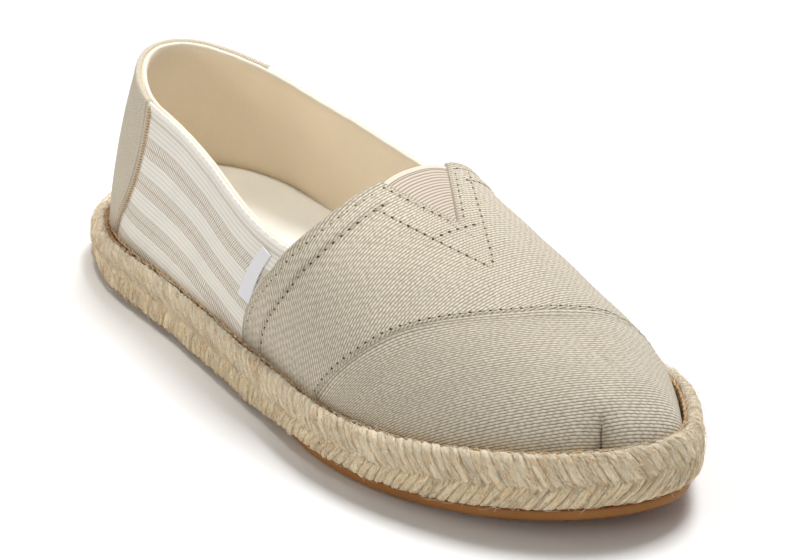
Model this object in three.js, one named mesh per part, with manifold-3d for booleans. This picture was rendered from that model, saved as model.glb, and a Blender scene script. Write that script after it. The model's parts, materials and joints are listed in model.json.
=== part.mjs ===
// Espadrille for a right foot: rubber outsole, braided jute sole, hollow canvas upper,
// elastic gore under the V notch of the throat, and a padded footbed.
// Millimetres. +X runs from heel to toe, +Y is the inner (big-toe) side, +Z is up.
// The origin is the middle of the bounding box on the ground.
import * as THREE from 'three';
import { ParametricGeometry } from 'three/addons/geometries/ParametricGeometry.js';
import { mergeVertices } from 'three/addons/utils/BufferGeometryUtils.js';
import Module from 'manifold-3d';

const wasm = await Module();
wasm.setup();

// ---- driving dimensions -------------------------------------------------------------
const SOLE_LENGTH = 255;        // outer length of the jute sole
const TOE_SPRING = 7.1;         // lift of the toe end
const SPRING_START = 170;       // station where the sole starts to rise
const OUTSOLE_TOP = 3.5;        // thickness of the rubber outsole
const OUTSOLE_INSET = 1.4;      // the rubber stands this far inside the jute
const ARCH_RELIEF = 0.8;        // shallow hollow of the outsole under the arch
const ARCH_FROM = 84, ARCH_TO = 122;
const GAP = 0.3;                // clearance between neighbouring pieces
const JUTE_FLOOR = 11.0;        // top of the jute sole under the foot
const JUTE_RIM = 18.0;          // top of the braided rim
const RIM_WIDTH = 5.0;          // width of the braided rim
const WALL = 2.0;               // canvas and lining together
const FOOTBED = 8.4;            // thickness of the insole: cushion on a midsole board
const GORE_WALL = 1.3;          // thickness of the elastic
const GORE_SET_BACK = 0.5;      // elastic lies this far below the canvas
const TOE_FAN = 190, TOE_REACH = 62;    // the sections turn around the toe from here
const HEEL_FAN = 60, HEEL_REACH = 32;   // and around the heel
const AROUND = 96;              // steps around the outline
const UP = 14;                  // steps from feather edge to ridge

// Outline of the jute sole: station from the heel, half width, offset of the centre line
const OUTLINE = [
  { x: 0, half: 0, centre: 0 },
  { x: 10, half: 21.3, centre: 0.4 },
  { x: 38, half: 33.6, centre: 0 },
  { x: 79, half: 35.6, centre: -2.4 },
  { x: 128, half: 42.0, centre: -1.8 },
  { x: 177, half: 46.7, centre: -1.0 },
  { x: 218, half: 38.8, centre: 1.9 },
  { x: 245, half: 21.0, centre: 3.6 },
  { x: 255, half: 0, centre: 6.0 },
];
// Ridge of the last: station, height, side offset. Behind the throat it is only a guide
// that gives the quarters their lean; the collar cut takes it away.
const RIDGE = [
  { x: 30, z: 100, y: 0 },
  { x: 60, z: 100, y: 0 },
  { x: 88, z: 90, y: 0 },
  { x: 117, z: 78, y: 1.5 },
  { x: 132, z: 71, y: 3 },
  { x: 144, z: 66.2, y: 3.5 },
  { x: 165, z: 59, y: 4 },
  { x: 190, z: 51, y: 4.5 },
  { x: 205, z: 46.4, y: 4.9 },
  { x: 218, z: 42.2, y: 5.3 },
  { x: 229, z: 39.2, y: 5.5 },
];
// Fullness of the wall at each station: 1 is a straight lean, 2 an ellipse
const FULLNESS = [
  { x: 0, n: 1.17 }, { x: 45, n: 1.6 }, { x: 60, n: 1.7 }, { x: 88, n: 2.2 },
  { x: 117, n: 2.6 }, { x: 132, n: 2.55 }, { x: 150, n: 2.3 }, { x: 190, n: 2.08 }, { x: 256, n: 2.15 },
];
// Height of the collar: outer (lateral) and inner (medial) side
const COLLAR = [
  { x: 0, outer: 66, inner: 66 },
  { x: 18, outer: 64.8, inner: 64.8 },
  { x: 30, outer: 62.3, inner: 62.0 },
  { x: 45, outer: 60.3, inner: 59.6 },
  { x: 60, outer: 59.7, inner: 58.8 },
  { x: 75, outer: 58.8, inner: 57.6 },
  { x: 88, outer: 57.2, inner: 55.8 },
  { x: 102, outer: 54.4, inner: 52.6 },
  { x: 117, outer: 51.3, inner: 49.4 },
  { x: 132, outer: 49.2, inner: 47.2 },
  { x: 150, outer: 49.2, inner: 47.2 },
];
// Back edge of the vamp across the instep
const THROAT = [
  { y: -60, x: 130 }, { y: -38, x: 134.5 }, { y: -33.4, x: 136.6 }, { y: -29.6, x: 140.2 },
  { y: -23.8, x: 143.2 }, { y: -16.8, x: 144.8 }, { y: -7, x: 145.6 }, { y: 0, x: 145 },
  { y: 8, x: 143 }, { y: 13.5, x: 140.8 }, { y: 20, x: 138.5 }, { y: 26, x: 136 },
  { y: 31, x: 133 }, { y: 60, x: 128 },
];
// Height of the braided rim against its usual level: station, lift
const RIM_LIFT = [
  { x: 0, z: -3.2 }, { x: 30, z: -2.8 }, { x: 46, z: -1.6 }, { x: 62, z: -1.2 }, { x: 110, z: -1.2 }, { x: 141, z: -0.8 },
  { x: 163, z: -0.2 }, { x: 180, z: 0.4 }, { x: 194, z: 0.8 }, { x: 209, z: 1.5 }, { x: 225, z: 2.3 }, { x: 255, z: 2.3 },
];
// V notch of the throat
const NOTCH = { tip: [167.4, 2.1], outer: [145.1, -7.5], inner: [144.6, 14.7] };

// ---- helpers ------------------------------------------------------------------------
// smooth reading of a table column
function read(table, key, col, at) {
  const n = table.length;
  const X = (i) => table[i][key], Y = (i) => table[i][col];
  const x = Math.min(Math.max(at, X(0)), X(n - 1));
  let k = 0;
  while (k < n - 2 && x > X(k + 1)) k++;
  const h = (i) => X(i + 1) - X(i), d = (i) => (Y(i + 1) - Y(i)) / h(i);
  const m = (i) => (i === 0 ? d(0) : i === n - 1 ? d(n - 2) : (d(i - 1) * h(i) + d(i) * h(i - 1)) / (h(i - 1) + h(i)));
  const t = (x - X(k)) / h(k);
  return Y(k) * (1 + 2 * t) * (1 - t) ** 2 + m(k) * h(k) * t * (1 - t) ** 2
    + Y(k + 1) * t * t * (3 - 2 * t) + m(k + 1) * h(k) * t * t * (t - 1);
}
const spring = (x) => (x > SPRING_START ? TOE_SPRING * ((x - SPRING_START) / (SOLE_LENGTH - SPRING_START)) ** 2 : 0);
// The half width is kept as roundness over an ellipse, so both ends close smoothly.
const ROUND = OUTLINE.map((r) => {
  const a = Math.acos(1 - 2 * r.x / SOLE_LENGTH);
  return { a, b: r.half / Math.sin(a) };
});
ROUND[0].b = ROUND[1].b * 1.12;
ROUND[ROUND.length - 1].b = ROUND[ROUND.length - 2].b * 1.06;

// point of the outline; the angle runs from the heel (0) over the outer side to the toe (PI) and back
function edge(angle) {
  const full = ((angle % (2 * Math.PI)) + 2 * Math.PI) % (2 * Math.PI);
  const a = full > Math.PI ? 2 * Math.PI - full : full;
  const x = SOLE_LENGTH * (1 - Math.cos(a)) / 2;
  const w = read(ROUND, 'a', 'b', a) * Math.sin(a);
  return [x, read(OUTLINE, 'x', 'centre', x) + (full > Math.PI ? w : -w)];
}
function outline(angle, inset) {
  const [x, y] = edge(angle);
  const p = edge(angle + 1e-3), q = edge(angle - 1e-3);
  const tx = p[0] - q[0], ty = p[1] - q[1], l = Math.hypot(tx, ty);
  return [x - (ty / l) * inset, y + (tx / l) * inset];
}
// station on the centre line that a point of the outline looks at
function station(angle) {
  const from = RIM_WIDTH + GAP, to = SOLE_LENGTH - RIM_WIDTH - GAP;
  const s = from + (to - from) * (1 - Math.cos(angle)) / 2;
  if (s > TOE_FAN) return TOE_FAN + TOE_REACH * (1 - Math.exp(-(s - TOE_FAN) / TOE_REACH));
  if (s < HEEL_FAN) return HEEL_FAN - HEEL_REACH * (1 - Math.exp(-(HEEL_FAN - s) / HEEL_REACH));
  return s;
}
// Wall of the last: a curve from the feather edge to the ridge.
function wall(angle, z, drop) {
  const [bx, by] = outline(angle, RIM_WIDTH + GAP + drop);
  const a = station(angle);
  const rx = Math.min(Math.max(a, RIDGE[0].x), RIDGE[RIDGE.length - 1].x);
  const rz = read(RIDGE, 'x', 'z', rx) - drop, ry = read(RIDGE, 'x', 'y', rx);
  const n = read(FULLNESS, 'x', 'n', bx);
  const z0 = JUTE_FLOOR + GAP + spring(bx);
  const v = Math.min(Math.max(typeof z === 'number' ? (z - z0) / (rz - z0) : z.v, 0), 1);
  const u = 1 - (1 - v ** n) ** (1 / n);
  return [bx + (a - bx) * u, by + (ry - by) * u, z0 + (rz - z0) * v];
}
// A closed skin of rings around the foot: rows(angle) lists its points from the bottom
// middle, around the outside, to the top middle.
function skin(rows, around = AROUND) {
  const count = rows(0).length - 1;
  const g = new ParametricGeometry((u, v, out) => {
    const i = Math.round(u * around) % around;
    const p = rows(2 * Math.PI * i / around)[Math.round(v * count)];
    out.set(p[0], p[1], p[2]);
  }, around, count);
  return g;
}
function toSolid(geometry) {
  const g = geometry.clone();
  g.deleteAttribute('normal');
  g.deleteAttribute('uv');
  const m = mergeVertices(g, 1e-4);
  const pos = m.getAttribute('position').array, idx = m.index.array, tri = [];
  for (let i = 0; i < idx.length; i += 3) {
    const [a, b, c] = [idx[i], idx[i + 1], idx[i + 2]];
    if (a !== b && b !== c && a !== c) tri.push(a, b, c);
  }
  // faces point out when the signed volume is positive
  let vol = 0;
  for (let i = 0; i < tri.length; i += 3) {
    const [a, b, c] = [tri[i] * 3, tri[i + 1] * 3, tri[i + 2] * 3];
    vol += pos[a] * (pos[b + 1] * pos[c + 2] - pos[b + 2] * pos[c + 1])
      - pos[a + 1] * (pos[b] * pos[c + 2] - pos[b + 2] * pos[c])
      + pos[a + 2] * (pos[b] * pos[c + 1] - pos[b + 1] * pos[c]);
  }
  if (vol < 0) for (let i = 0; i < tri.length; i += 3) [tri[i + 1], tri[i + 2]] = [tri[i + 2], tri[i + 1]];
  return new wasm.Manifold(new wasm.Mesh({ numProp: 3, vertProperties: new Float32Array(pos), triVerts: new Uint32Array(tri) }));
}
function toMesh(solid, name, colour, roughness) {
  const m = solid.getMesh();
  const g = new THREE.BufferGeometry();
  g.setAttribute('position', new THREE.BufferAttribute(new Float32Array(m.vertProperties), 3));
  g.setIndex(new THREE.BufferAttribute(new Uint32Array(m.triVerts), 1));
  g.computeVertexNormals();
  const mesh = new THREE.Mesh(g, new THREE.MeshStandardMaterial({ color: colour, roughness, metalness: 0 }));
  mesh.name = name;
  return mesh;
}

// ---- sole ---------------------------------------------------------------------------
const ring = (angle, inset, z) => { const [x, y] = outline(angle, inset); return [x, y, z + spring(x)]; };
const middle = (angle, z, from = 40, to = 215) => {
  const x = from + (to - from) * (1 - Math.cos(angle)) / 2;
  return [x, read(OUTLINE, 'x', 'centre', x), z + spring(x)];
};
// hollow under the arch, with soft ends
function arch(p) {
  const t = (p[0] - ARCH_FROM) / (ARCH_TO - ARCH_FROM);
  return [p[0], p[1], p[2] + (t > 0 && t < 1 ? ARCH_RELIEF * Math.min(1, 6 * t, 6 * (1 - t)) : 0)];
}
const outsole = toSolid(skin((a) => [
  arch(middle(a, 0)),
  arch(ring(a, OUTSOLE_INSET + 1.6, 0)),
  ring(a, OUTSOLE_INSET + 0.3, 1.1),
  ring(a, OUTSOLE_INSET, OUTSOLE_TOP - 0.4),
  ring(a, OUTSOLE_INSET + 0.4, OUTSOLE_TOP),
  middle(a, OUTSOLE_TOP),
]));
const JUTE_BOTTOM = OUTSOLE_TOP + GAP;
// the braided rim stands a little higher round the toe and lower behind the heel
function rim(a, inset, z) {
  const p = ring(a, inset, z);
  return [p[0], p[1], p[2] + read(RIM_LIFT, 'x', 'z', p[0])];
}
const juteSole = toSolid(skin((a) => [
  middle(a, JUTE_BOTTOM),
  ring(a, 2.6, JUTE_BOTTOM),
  ring(a, 0.8, JUTE_BOTTOM + 1.6),
  ring(a, 0, JUTE_BOTTOM + 4.8),
  rim(a, 0.1, JUTE_RIM - 4.6),
  rim(a, 0.9, JUTE_RIM - 1.7),
  rim(a, 2.4, JUTE_RIM - 0.1),
  rim(a, 4.0, JUTE_RIM - 0.3),
  rim(a, RIM_WIDTH, JUTE_RIM - 1.8),
  ring(a, RIM_WIDTH, JUTE_FLOOR),
  middle(a, JUTE_FLOOR),
]));

// ---- upper --------------------------------------------------------------------------
// levels up the wall, closer together where it turns over
const LEVELS = Array.from({ length: UP + 1 }, (_, i) => Math.sin((i / UP) * Math.PI / 2) ** 1.15);
const last = (drop, below) => toSolid(skin((a) => {
  const foot = wall(a, { v: 0 }, drop), up = LEVELS.map((v) => wall(a, { v }, drop));
  const lift = below ? [[foot[0], foot[1], foot[2] - below]] : [];
  const mx = 40 + 175 * (1 - Math.cos(a)) / 2;
  return [[mx, read(OUTLINE, 'x', 'centre', mx), JUTE_FLOOR + GAP + spring(mx) - below], ...lift, ...up];
}));
// everything above the collar line and behind the throat
function collarCut() {
  const NX = 26, NY = 24;
  const at = (i, j, top) => {
    const y = -60 + 120 * (j / NY), front = read(THROAT, 'y', 'x', y);
    const x = -20 + (front + 20) * (i / NX);
    const side = 0.5 + 0.5 * Math.tanh(y / 12);
    const low = read(COLLAR, 'x', 'outer', x) * (1 - side) + read(COLLAR, 'x', 'inner', x) * side;
    return [x, y, top ? 140 : low];
  };
  // rows: top middle line, top rim, lower rim, lower middle line
  const rim = [];
  for (let i = 0; i < NX; i++) rim.push([i, 0]);
  for (let j = 0; j < NY; j++) rim.push([NX, j]);
  for (let i = NX; i > 0; i--) rim.push([i, NY]);
  for (let j = NY; j > 0; j--) rim.push([0, j]);
  const pos = [], tri = [], id = (i, j, top) => (i * (NY + 1) + j) * 2 + (top ? 1 : 0);
  for (let i = 0; i <= NX; i++) for (let j = 0; j <= NY; j++) pos.push(...at(i, j, false), ...at(i, j, true));
  for (let i = 0; i < NX; i++) for (let j = 0; j < NY; j++) {
    const [a, b, c, d] = [id(i, j, false), id(i + 1, j, false), id(i + 1, j + 1, false), id(i, j + 1, false)];
    tri.push(a, c, b, a, d, c, a + 1, b + 1, c + 1, a + 1, c + 1, d + 1);
  }
  for (let k = 0; k < rim.length; k++) {
    const p = id(...rim[k], false), q = id(...rim[(k + 1) % rim.length], false);
    tri.push(p, q, q + 1, p, q + 1, p + 1);
  }
  const g = new THREE.BufferGeometry();
  g.setAttribute('position', new THREE.Float32BufferAttribute(pos, 3));
  g.setIndex(tri);
  return toSolid(g);
}
// V-shaped prism; shrink > 0 keeps it inside the notch
function notchPrism(shrink, back) {
  const { tip, outer, inner } = NOTCH;
  const dir = (p) => { const l = Math.hypot(p[0] - tip[0], p[1] - tip[1]); return [(p[0] - tip[0]) / l, (p[1] - tip[1]) / l]; };
  const o = dir(outer), i = dir(inner);
  const half = Math.acos(o[0] * i[0] + o[1] * i[1]) / 2;
  const mid = [(o[0] + i[0]) / 2, (o[1] + i[1]) / 2], ml = Math.hypot(...mid);
  const t = [tip[0] + (mid[0] / ml) * shrink / Math.sin(half), tip[1] + (mid[1] / ml) * shrink / Math.sin(half)];
  const reach = (d) => [t[0] + d[0] * back, t[1] + d[1] * back];
  const shape = new THREE.Shape([new THREE.Vector2(...t), new THREE.Vector2(...reach(i)), new THREE.Vector2(...reach(o))]);
  const g = new THREE.ExtrudeGeometry(shape, { depth: 60, bevelEnabled: false });
  g.translate(0, 0, 30);
  return toSolid(g);
}
const cut = collarCut();
const upper = last(0, 0).subtract(last(WALL, 4)).subtract(cut).subtract(notchPrism(0, 40));

// elastic: the wall between two smaller lasts, inside the notch, ending at the throat
const gore = last(GORE_SET_BACK, 0).subtract(last(GORE_SET_BACK + GORE_WALL, 4))
  .intersect(notchPrism(GAP, 34)).subtract(cut);

// ---- footbed ------------------------------------------------------------------------
const BED_BOTTOM = JUTE_FLOOR + GAP;
function bedRing(angle, z) {
  const top = BED_BOTTOM + FOOTBED + spring(outline(angle, RIM_WIDTH)[0]);
  const p = wall(angle, top + 0.4, WALL + GAP + 0.2);
  return [p[0], p[1], z + spring(p[0])];
}
const insole = toSolid(skin((a) => [
  middle(a, BED_BOTTOM),
  bedRing(a, BED_BOTTOM),
  bedRing(a, BED_BOTTOM + FOOTBED),
  middle(a, BED_BOTTOM + FOOTBED),
]));

// ---- assembly -----------------------------------------------------------------------
const shoe = new THREE.Group();
shoe.add(
  toMesh(outsole, 'outsole', 0x96602e, 0.7),
  toMesh(juteSole, 'jute_sole', 0xdcc092, 0.95),
  toMesh(upper, 'upper', 0xc9bfa6, 0.95),
  toMesh(gore, 'elastic_gore', 0xbfae98, 0.9),
  toMesh(insole, 'insole', 0xe6dfcf, 0.9),
);
const box = new THREE.Box3().setFromObject(shoe);
shoe.position.set(-(box.min.x + box.max.x) / 2, -(box.min.y + box.max.y) / 2, -box.min.z);
const root = new THREE.Group();
root.add(shoe);
root.updateMatrixWorld(true);

export default root;
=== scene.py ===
import json
import math
import bmesh
import bpy
import numpy as np
from mathutils import Matrix, Vector

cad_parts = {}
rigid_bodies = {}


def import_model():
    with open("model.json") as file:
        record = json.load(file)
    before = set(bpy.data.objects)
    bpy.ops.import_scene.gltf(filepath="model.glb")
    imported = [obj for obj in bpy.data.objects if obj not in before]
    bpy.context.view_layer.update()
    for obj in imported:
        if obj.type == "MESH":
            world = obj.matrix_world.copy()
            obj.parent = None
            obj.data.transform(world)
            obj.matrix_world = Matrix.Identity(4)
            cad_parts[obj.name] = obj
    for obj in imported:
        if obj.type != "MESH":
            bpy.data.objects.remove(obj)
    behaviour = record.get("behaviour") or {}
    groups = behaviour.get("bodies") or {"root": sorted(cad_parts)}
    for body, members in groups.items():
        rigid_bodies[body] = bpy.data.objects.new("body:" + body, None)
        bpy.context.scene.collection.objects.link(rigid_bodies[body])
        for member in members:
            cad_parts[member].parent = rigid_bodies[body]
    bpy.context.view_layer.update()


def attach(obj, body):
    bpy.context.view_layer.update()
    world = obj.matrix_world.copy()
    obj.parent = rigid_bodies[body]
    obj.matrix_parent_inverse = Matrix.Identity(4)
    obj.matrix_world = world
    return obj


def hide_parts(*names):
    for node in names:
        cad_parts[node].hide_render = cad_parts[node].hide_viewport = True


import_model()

PI = math.pi
for o in list(bpy.data.objects):
    if o.name in ("Cube", "Camera", "Light"):
        bpy.data.objects.remove(o)

# ------------------------------------------------------------------ form of the last
LENGTH, RIM, GAP, FLOOR_IN = 255.0, 5.0, 0.3, 11.0
OUT_X = [0, 10, 38, 79, 128, 177, 218, 245, 255.0]
OUT_W = [0, 21.3, 33.6, 35.6, 42.0, 46.7, 38.8, 21.0, 0]
OUT_C = [0, 0.4, 0.0, -2.4, -1.8, -1.0, 1.9, 3.6, 6.0]
RIDGE_X = [30, 60, 88, 117, 132, 144, 165, 190, 205, 218, 229.0]
RIDGE_Z = [100, 100, 90, 78, 71, 66.2, 59.0, 51.0, 46.4, 42.2, 39.2]
RIDGE_Y = [0, 0, 0, 1.5, 3, 3.5, 4, 4.5, 4.9, 5.3, 5.5]
FULL_X = [0, 45, 60, 88, 117, 132, 150, 190, 256.0]
FULL_N = [1.17, 1.6, 1.7, 2.2, 2.6, 2.55, 2.3, 2.08, 2.15]
COL_X = [0, 18, 30, 45, 60, 75, 88, 102, 117, 132, 150.0]
COL_OUT = [66, 64.8, 62.3, 60.3, 59.7, 58.8, 57.2, 54.4, 51.3, 49.2, 49.2]
COL_IN = [66, 64.8, 62.0, 59.6, 58.8, 57.6, 55.8, 52.6, 49.4, 47.2, 47.2]
NOTCH_TIP, NOTCH_OUT, NOTCH_IN = (167.4, 2.1), (145.1, -7.5), (144.6, 14.7)


def cub(xs, ys, x):
    """Smooth reading of a table."""
    xs, ys = np.asarray(xs, float), np.asarray(ys, float)
    x = np.clip(np.asarray(x, float), xs[0], xs[-1])
    h = np.diff(xs)
    d = np.diff(ys) / h
    m = np.empty(len(xs))
    m[0], m[-1] = d[0], d[-1]
    m[1:-1] = (d[:-1] * h[1:] + d[1:] * h[:-1]) / (h[:-1] + h[1:])
    k = np.clip(np.searchsorted(xs, x, side="right") - 1, 0, len(h) - 1)
    t = (x - xs[k]) / h[k]
    return (ys[k] * (1 + 2 * t) * (1 - t) ** 2 + m[k] * h[k] * t * (1 - t) ** 2
            + ys[k + 1] * t * t * (3 - 2 * t) + m[k + 1] * h[k] * t * t * (t - 1))


def smooth(a, b, x):
    t = np.clip((np.asarray(x, float) - a) / (b - a), 0, 1)
    return t * t * (3 - 2 * t)


def spring(x):
    return np.where(np.asarray(x) > 170, 7.1 * ((np.maximum(x, 170) - 170) / 85.0) ** 2, 0.0)


ROUND_A = np.arccos(1 - 2 * np.array(OUT_X) / LENGTH)
ROUND_B = np.array([w / max(s, 1e-6) for w, s in zip(OUT_W, np.sin(ROUND_A))])
ROUND_B[0], ROUND_B[-1] = ROUND_B[1] * 1.12, ROUND_B[-2] * 1.06


def edge(th):
    full = np.mod(th, 2 * PI)
    a = np.where(full > PI, 2 * PI - full, full)
    x = LENGTH * (1 - np.cos(a)) / 2
    w = cub(ROUND_A, ROUND_B, a) * np.sin(a)
    return np.stack([x, cub(OUT_X, OUT_C, x) + np.where(full > PI, w, -w)], -1)


def outline(th, inset=0.0):
    """The sole's outline: th 0 at the heel, over the outer side to the toe at pi, and back."""
    th = np.asarray(th, float)
    q = edge(th + 1e-3) - edge(th - 1e-3)
    q /= np.linalg.norm(q, axis=-1, keepdims=True)
    return edge(th) + np.stack([-q[..., 1], q[..., 0]], -1) * np.asarray(inset, float)[..., None]


def station(th):
    s = 5.3 + (LENGTH - 10.6) * (1 - np.cos(th)) / 2
    a = np.where(s > 190, 190 + 62 * (1 - np.exp(-(np.maximum(s, 190) - 190) / 62)), s)
    return np.where(a < 60, 60 - 32 * (1 - np.exp(-(60 - np.minimum(s, 60)) / 32)), a)


def last(th, t):
    """Outer surface of the upper: t 0 at the feather edge, 1 on the ridge."""
    th, t = np.broadcast_arrays(np.asarray(th, float), np.asarray(t, float))
    b = outline(th, RIM + GAP)
    x, a = b[..., 0], station(th)
    rz, ry, n = cub(RIDGE_X, RIDGE_Z, a), cub(RIDGE_X, RIDGE_Y, a), cub(FULL_X, FULL_N, x)
    al = np.clip(t, 0, 1) * PI / 2
    u = 1 - np.clip(np.cos(al), 0, 1) ** (2 / n)
    v = np.sin(al) ** (2 / n)
    z0 = FLOOR_IN + GAP + spring(x)
    return np.stack([x + (a - x) * u, b[..., 1] + (ry - b[..., 1]) * u, z0 + (rz - z0) * v], -1)


def across(q, r):
    """q: angle from the heel as a share of pi; r: -1 outer feather edge, 0 ridge, 1 inner feather edge."""
    q, r = np.broadcast_arrays(np.asarray(q, float), np.asarray(r, float))
    return last(np.where(r <= 0, q * PI, 2 * PI - q * PI), 1 - np.abs(r))


_half = edge(2 * PI * np.arange(96) / 96)
YC = (_half[:, 1].min() + _half[:, 1].max()) / 2


def collar_height(p):
    side = 0.5 + 0.5 * np.tanh(p[..., 1] / 12)
    return cub(COL_X, COL_OUT, p[..., 0]) * (1 - side) + cub(COL_X, COL_IN, p[..., 0]) * side


# t of the topline for the signed angle f (share of pi, positive on the outer side)
_F = np.linspace(-0.56, 0.56, 449)
_lo, _hi = np.zeros_like(_F), np.full_like(_F, 0.95)
for _ in range(40):
    _mid = (_lo + _hi) / 2
    _p = last(_F * PI, _mid)
    _up = _p[:, 2] > collar_height(_p)
    _hi, _lo = np.where(_up, _mid, _hi), np.where(_up, _lo, _mid)
_T = (_lo + _hi) / 2


def top_t(f):
    return np.interp(f, _F, _T)


# ------------------------------------------------------------------ seams, as shares of pi
def seam(rows):
    a = np.array(rows, float)
    return lambda x: np.interp(x, a[:, 0], a[:, 1]) if len(a) < 3 else cub(a[:, 0], a[:, 1], x)


BACK_OUT = seam([(-1, .4765), (-.968, .477), (-.942, .4785), (-.891, .485), (-.813, .498), (-.730, .510), (-.619, .521),
                 (-.509, .531), (-.384, .539), (-.263, .543), (-.128, .545)])
BACK_IN = seam([(.174, .543), (.376, .5345), (.533, .5245), (.647, .5175), (.772, .512), (.879, .5085), (.95, .5065), (1, .505)])
TOE_SEAM = seam([(-1, .577), (-.924, .587), (-.838, .599), (-.695, .620), (-.519, .644), (-.38, .667), (-.253, .689),
                 (-.10, .7135), (.02, .7265), (.14, .7325), (.30, .7345), (.52, .738), (.863, .745), (1, .748)])
HEEL_OUT = seam([(0, .190), (.04, .209), (.123, .232), (.206, .261), (.292, .278), (.351, .281), (.43, .277)])
HEEL_IN = seam([(0, .182), (.04, .201), (.123, .223), (.206, .249), (.292, .263), (.351, .2655), (.43, .2685)])
VAMP_OUT_T = seam([(0, .4765), (.032, .477), (.058, .4785), (.109, .485), (.187, .498), (.270, .510), (.381, .521), (.45, .526)])
VAMP_IN_T = seam([(0, .505), (.05, .5065), (.121, .5085), (.228, .512), (.353, .5175), (.45, .522)])
R_OUT, R_TIP, R_IN = -.128, -.0195, .174


def _side_of(p, a, b):
    return (b[0] - a[0]) * (p[..., 1] - a[1]) - (b[1] - a[1]) * (p[..., 0] - a[0])


def vamp_back(r):
    """Back edge of the vamp: side seams, throat and the V notch."""
    r = np.asarray(r, float)
    q = np.where(r <= R_OUT, BACK_OUT(np.minimum(r, R_OUT)), BACK_IN(np.maximum(r, R_IN)))
    inside = (r > R_OUT) & (r < R_IN)
    lo, hi = np.full_like(r, .50), np.full_like(r, .66)
    for _ in range(36):
        mid = (lo + hi) / 2
        p = across(mid, r)
        beyond = np.where(r <= R_TIP, _side_of(p, NOTCH_OUT, NOTCH_TIP) < 0, _side_of(p, NOTCH_IN, NOTCH_TIP) > 0)
        hi, lo = np.where(beyond, mid, hi), np.where(beyond, lo, mid)
    return np.where(inside, (lo + hi) / 2, q)


# ------------------------------------------------------------------ mesh helpers
def to_row(v):
    v = np.asarray(v, float)
    return np.stack([(v[..., 0] - LENGTH / 2) / 1000, (v[..., 1] - YC) / 1000, v[..., 2] / 1000], -1)


def make(name, verts, faces, mats, index=None, uvs=None, attrs=None, slot=None, replaces=(), smooth_shade=True,
         weld=0.0):
    """A mesh object from points in millimetres and a list of face arrays; it rides on the one body."""
    co = to_row(verts)
    flat = [np.asarray(f) for f in faces if len(f)]
    loops = np.concatenate([f.ravel() for f in flat]).astype(np.int32)
    sizes = np.concatenate([np.full(len(f), f.shape[1]) for f in flat])
    start = np.concatenate([[0], np.cumsum(sizes)[:-1]]).astype(np.int32)
    me = bpy.data.meshes.new(name)
    me.vertices.add(len(co))
    me.vertices.foreach_set("co", co.astype(np.float32).ravel())
    me.loops.add(len(loops))
    me.loops.foreach_set("vertex_index", loops)
    me.polygons.add(len(sizes))
    me.polygons.foreach_set("loop_start", start)
    for m in mats:
        me.materials.append(m)
    if index is not None:
        me.polygons.foreach_set("material_index", np.asarray(index, np.int32))
    me.polygons.foreach_set("use_smooth", np.full(len(sizes), smooth_shade))
    me.update(calc_edges=True)
    for key, uv in (uvs or {}).items():
        layer = me.uv_layers.new(name=key)
        layer.data.foreach_set("uv", np.asarray(uv, np.float32)[loops].ravel())
    for key, values in (attrs or {}).items():
        me.attributes.new(key, "FLOAT", "POINT").data.foreach_set("value", np.asarray(values, np.float32))
    me.validate()
    if weld:                                      # points that coincide become one
        bm = bmesh.new()
        bm.from_mesh(me)
        bmesh.ops.remove_doubles(bm, verts=bm.verts[:], dist=weld)
        bm.to_mesh(me)
        bm.free()
    ob = bpy.data.objects.new(name, me)
    bpy.context.scene.collection.objects.link(ob)
    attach(ob, "root")
    if replaces:
        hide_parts(*replaces)
    return ob


def sheet_faces(ni, nj, base=0, flip=False, wrap_i=False, wrap_j=False):
    i = np.arange(ni if wrap_i else ni - 1)[:, None]
    j = np.arange(nj if wrap_j else nj - 1)[None, :]
    i2, j2 = (i + 1) % ni, (j + 1) % nj
    f = np.stack(np.broadcast_arrays(i * nj + j, i * nj + j2, i2 * nj + j2, i2 * nj + j), -1).reshape(-1, 4) + base
    return f[:, ::-1] if flip else f


def unit(v):
    return v / np.maximum(np.linalg.norm(v, axis=-1, keepdims=True), 1e-9)


def normals(p):
    n = unit(np.cross(np.gradient(p, axis=0), np.gradient(p, axis=1)))
    mid = p.copy()
    mid[..., 1] = 0
    mid[..., 0] = np.clip(p[..., 0], 45, 205)
    mid[..., 2] = 12
    return n if np.sum(n * (p - mid)) > 0 else -n


def run_length(p, axis):
    """Length along the grid lines of this axis, from its first line."""
    d = np.linalg.norm(np.diff(p, axis=axis), axis=-1)
    z = np.zeros_like(np.take(d, [0], axis))
    return np.concatenate([z, np.cumsum(d, axis)], axis)


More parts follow.
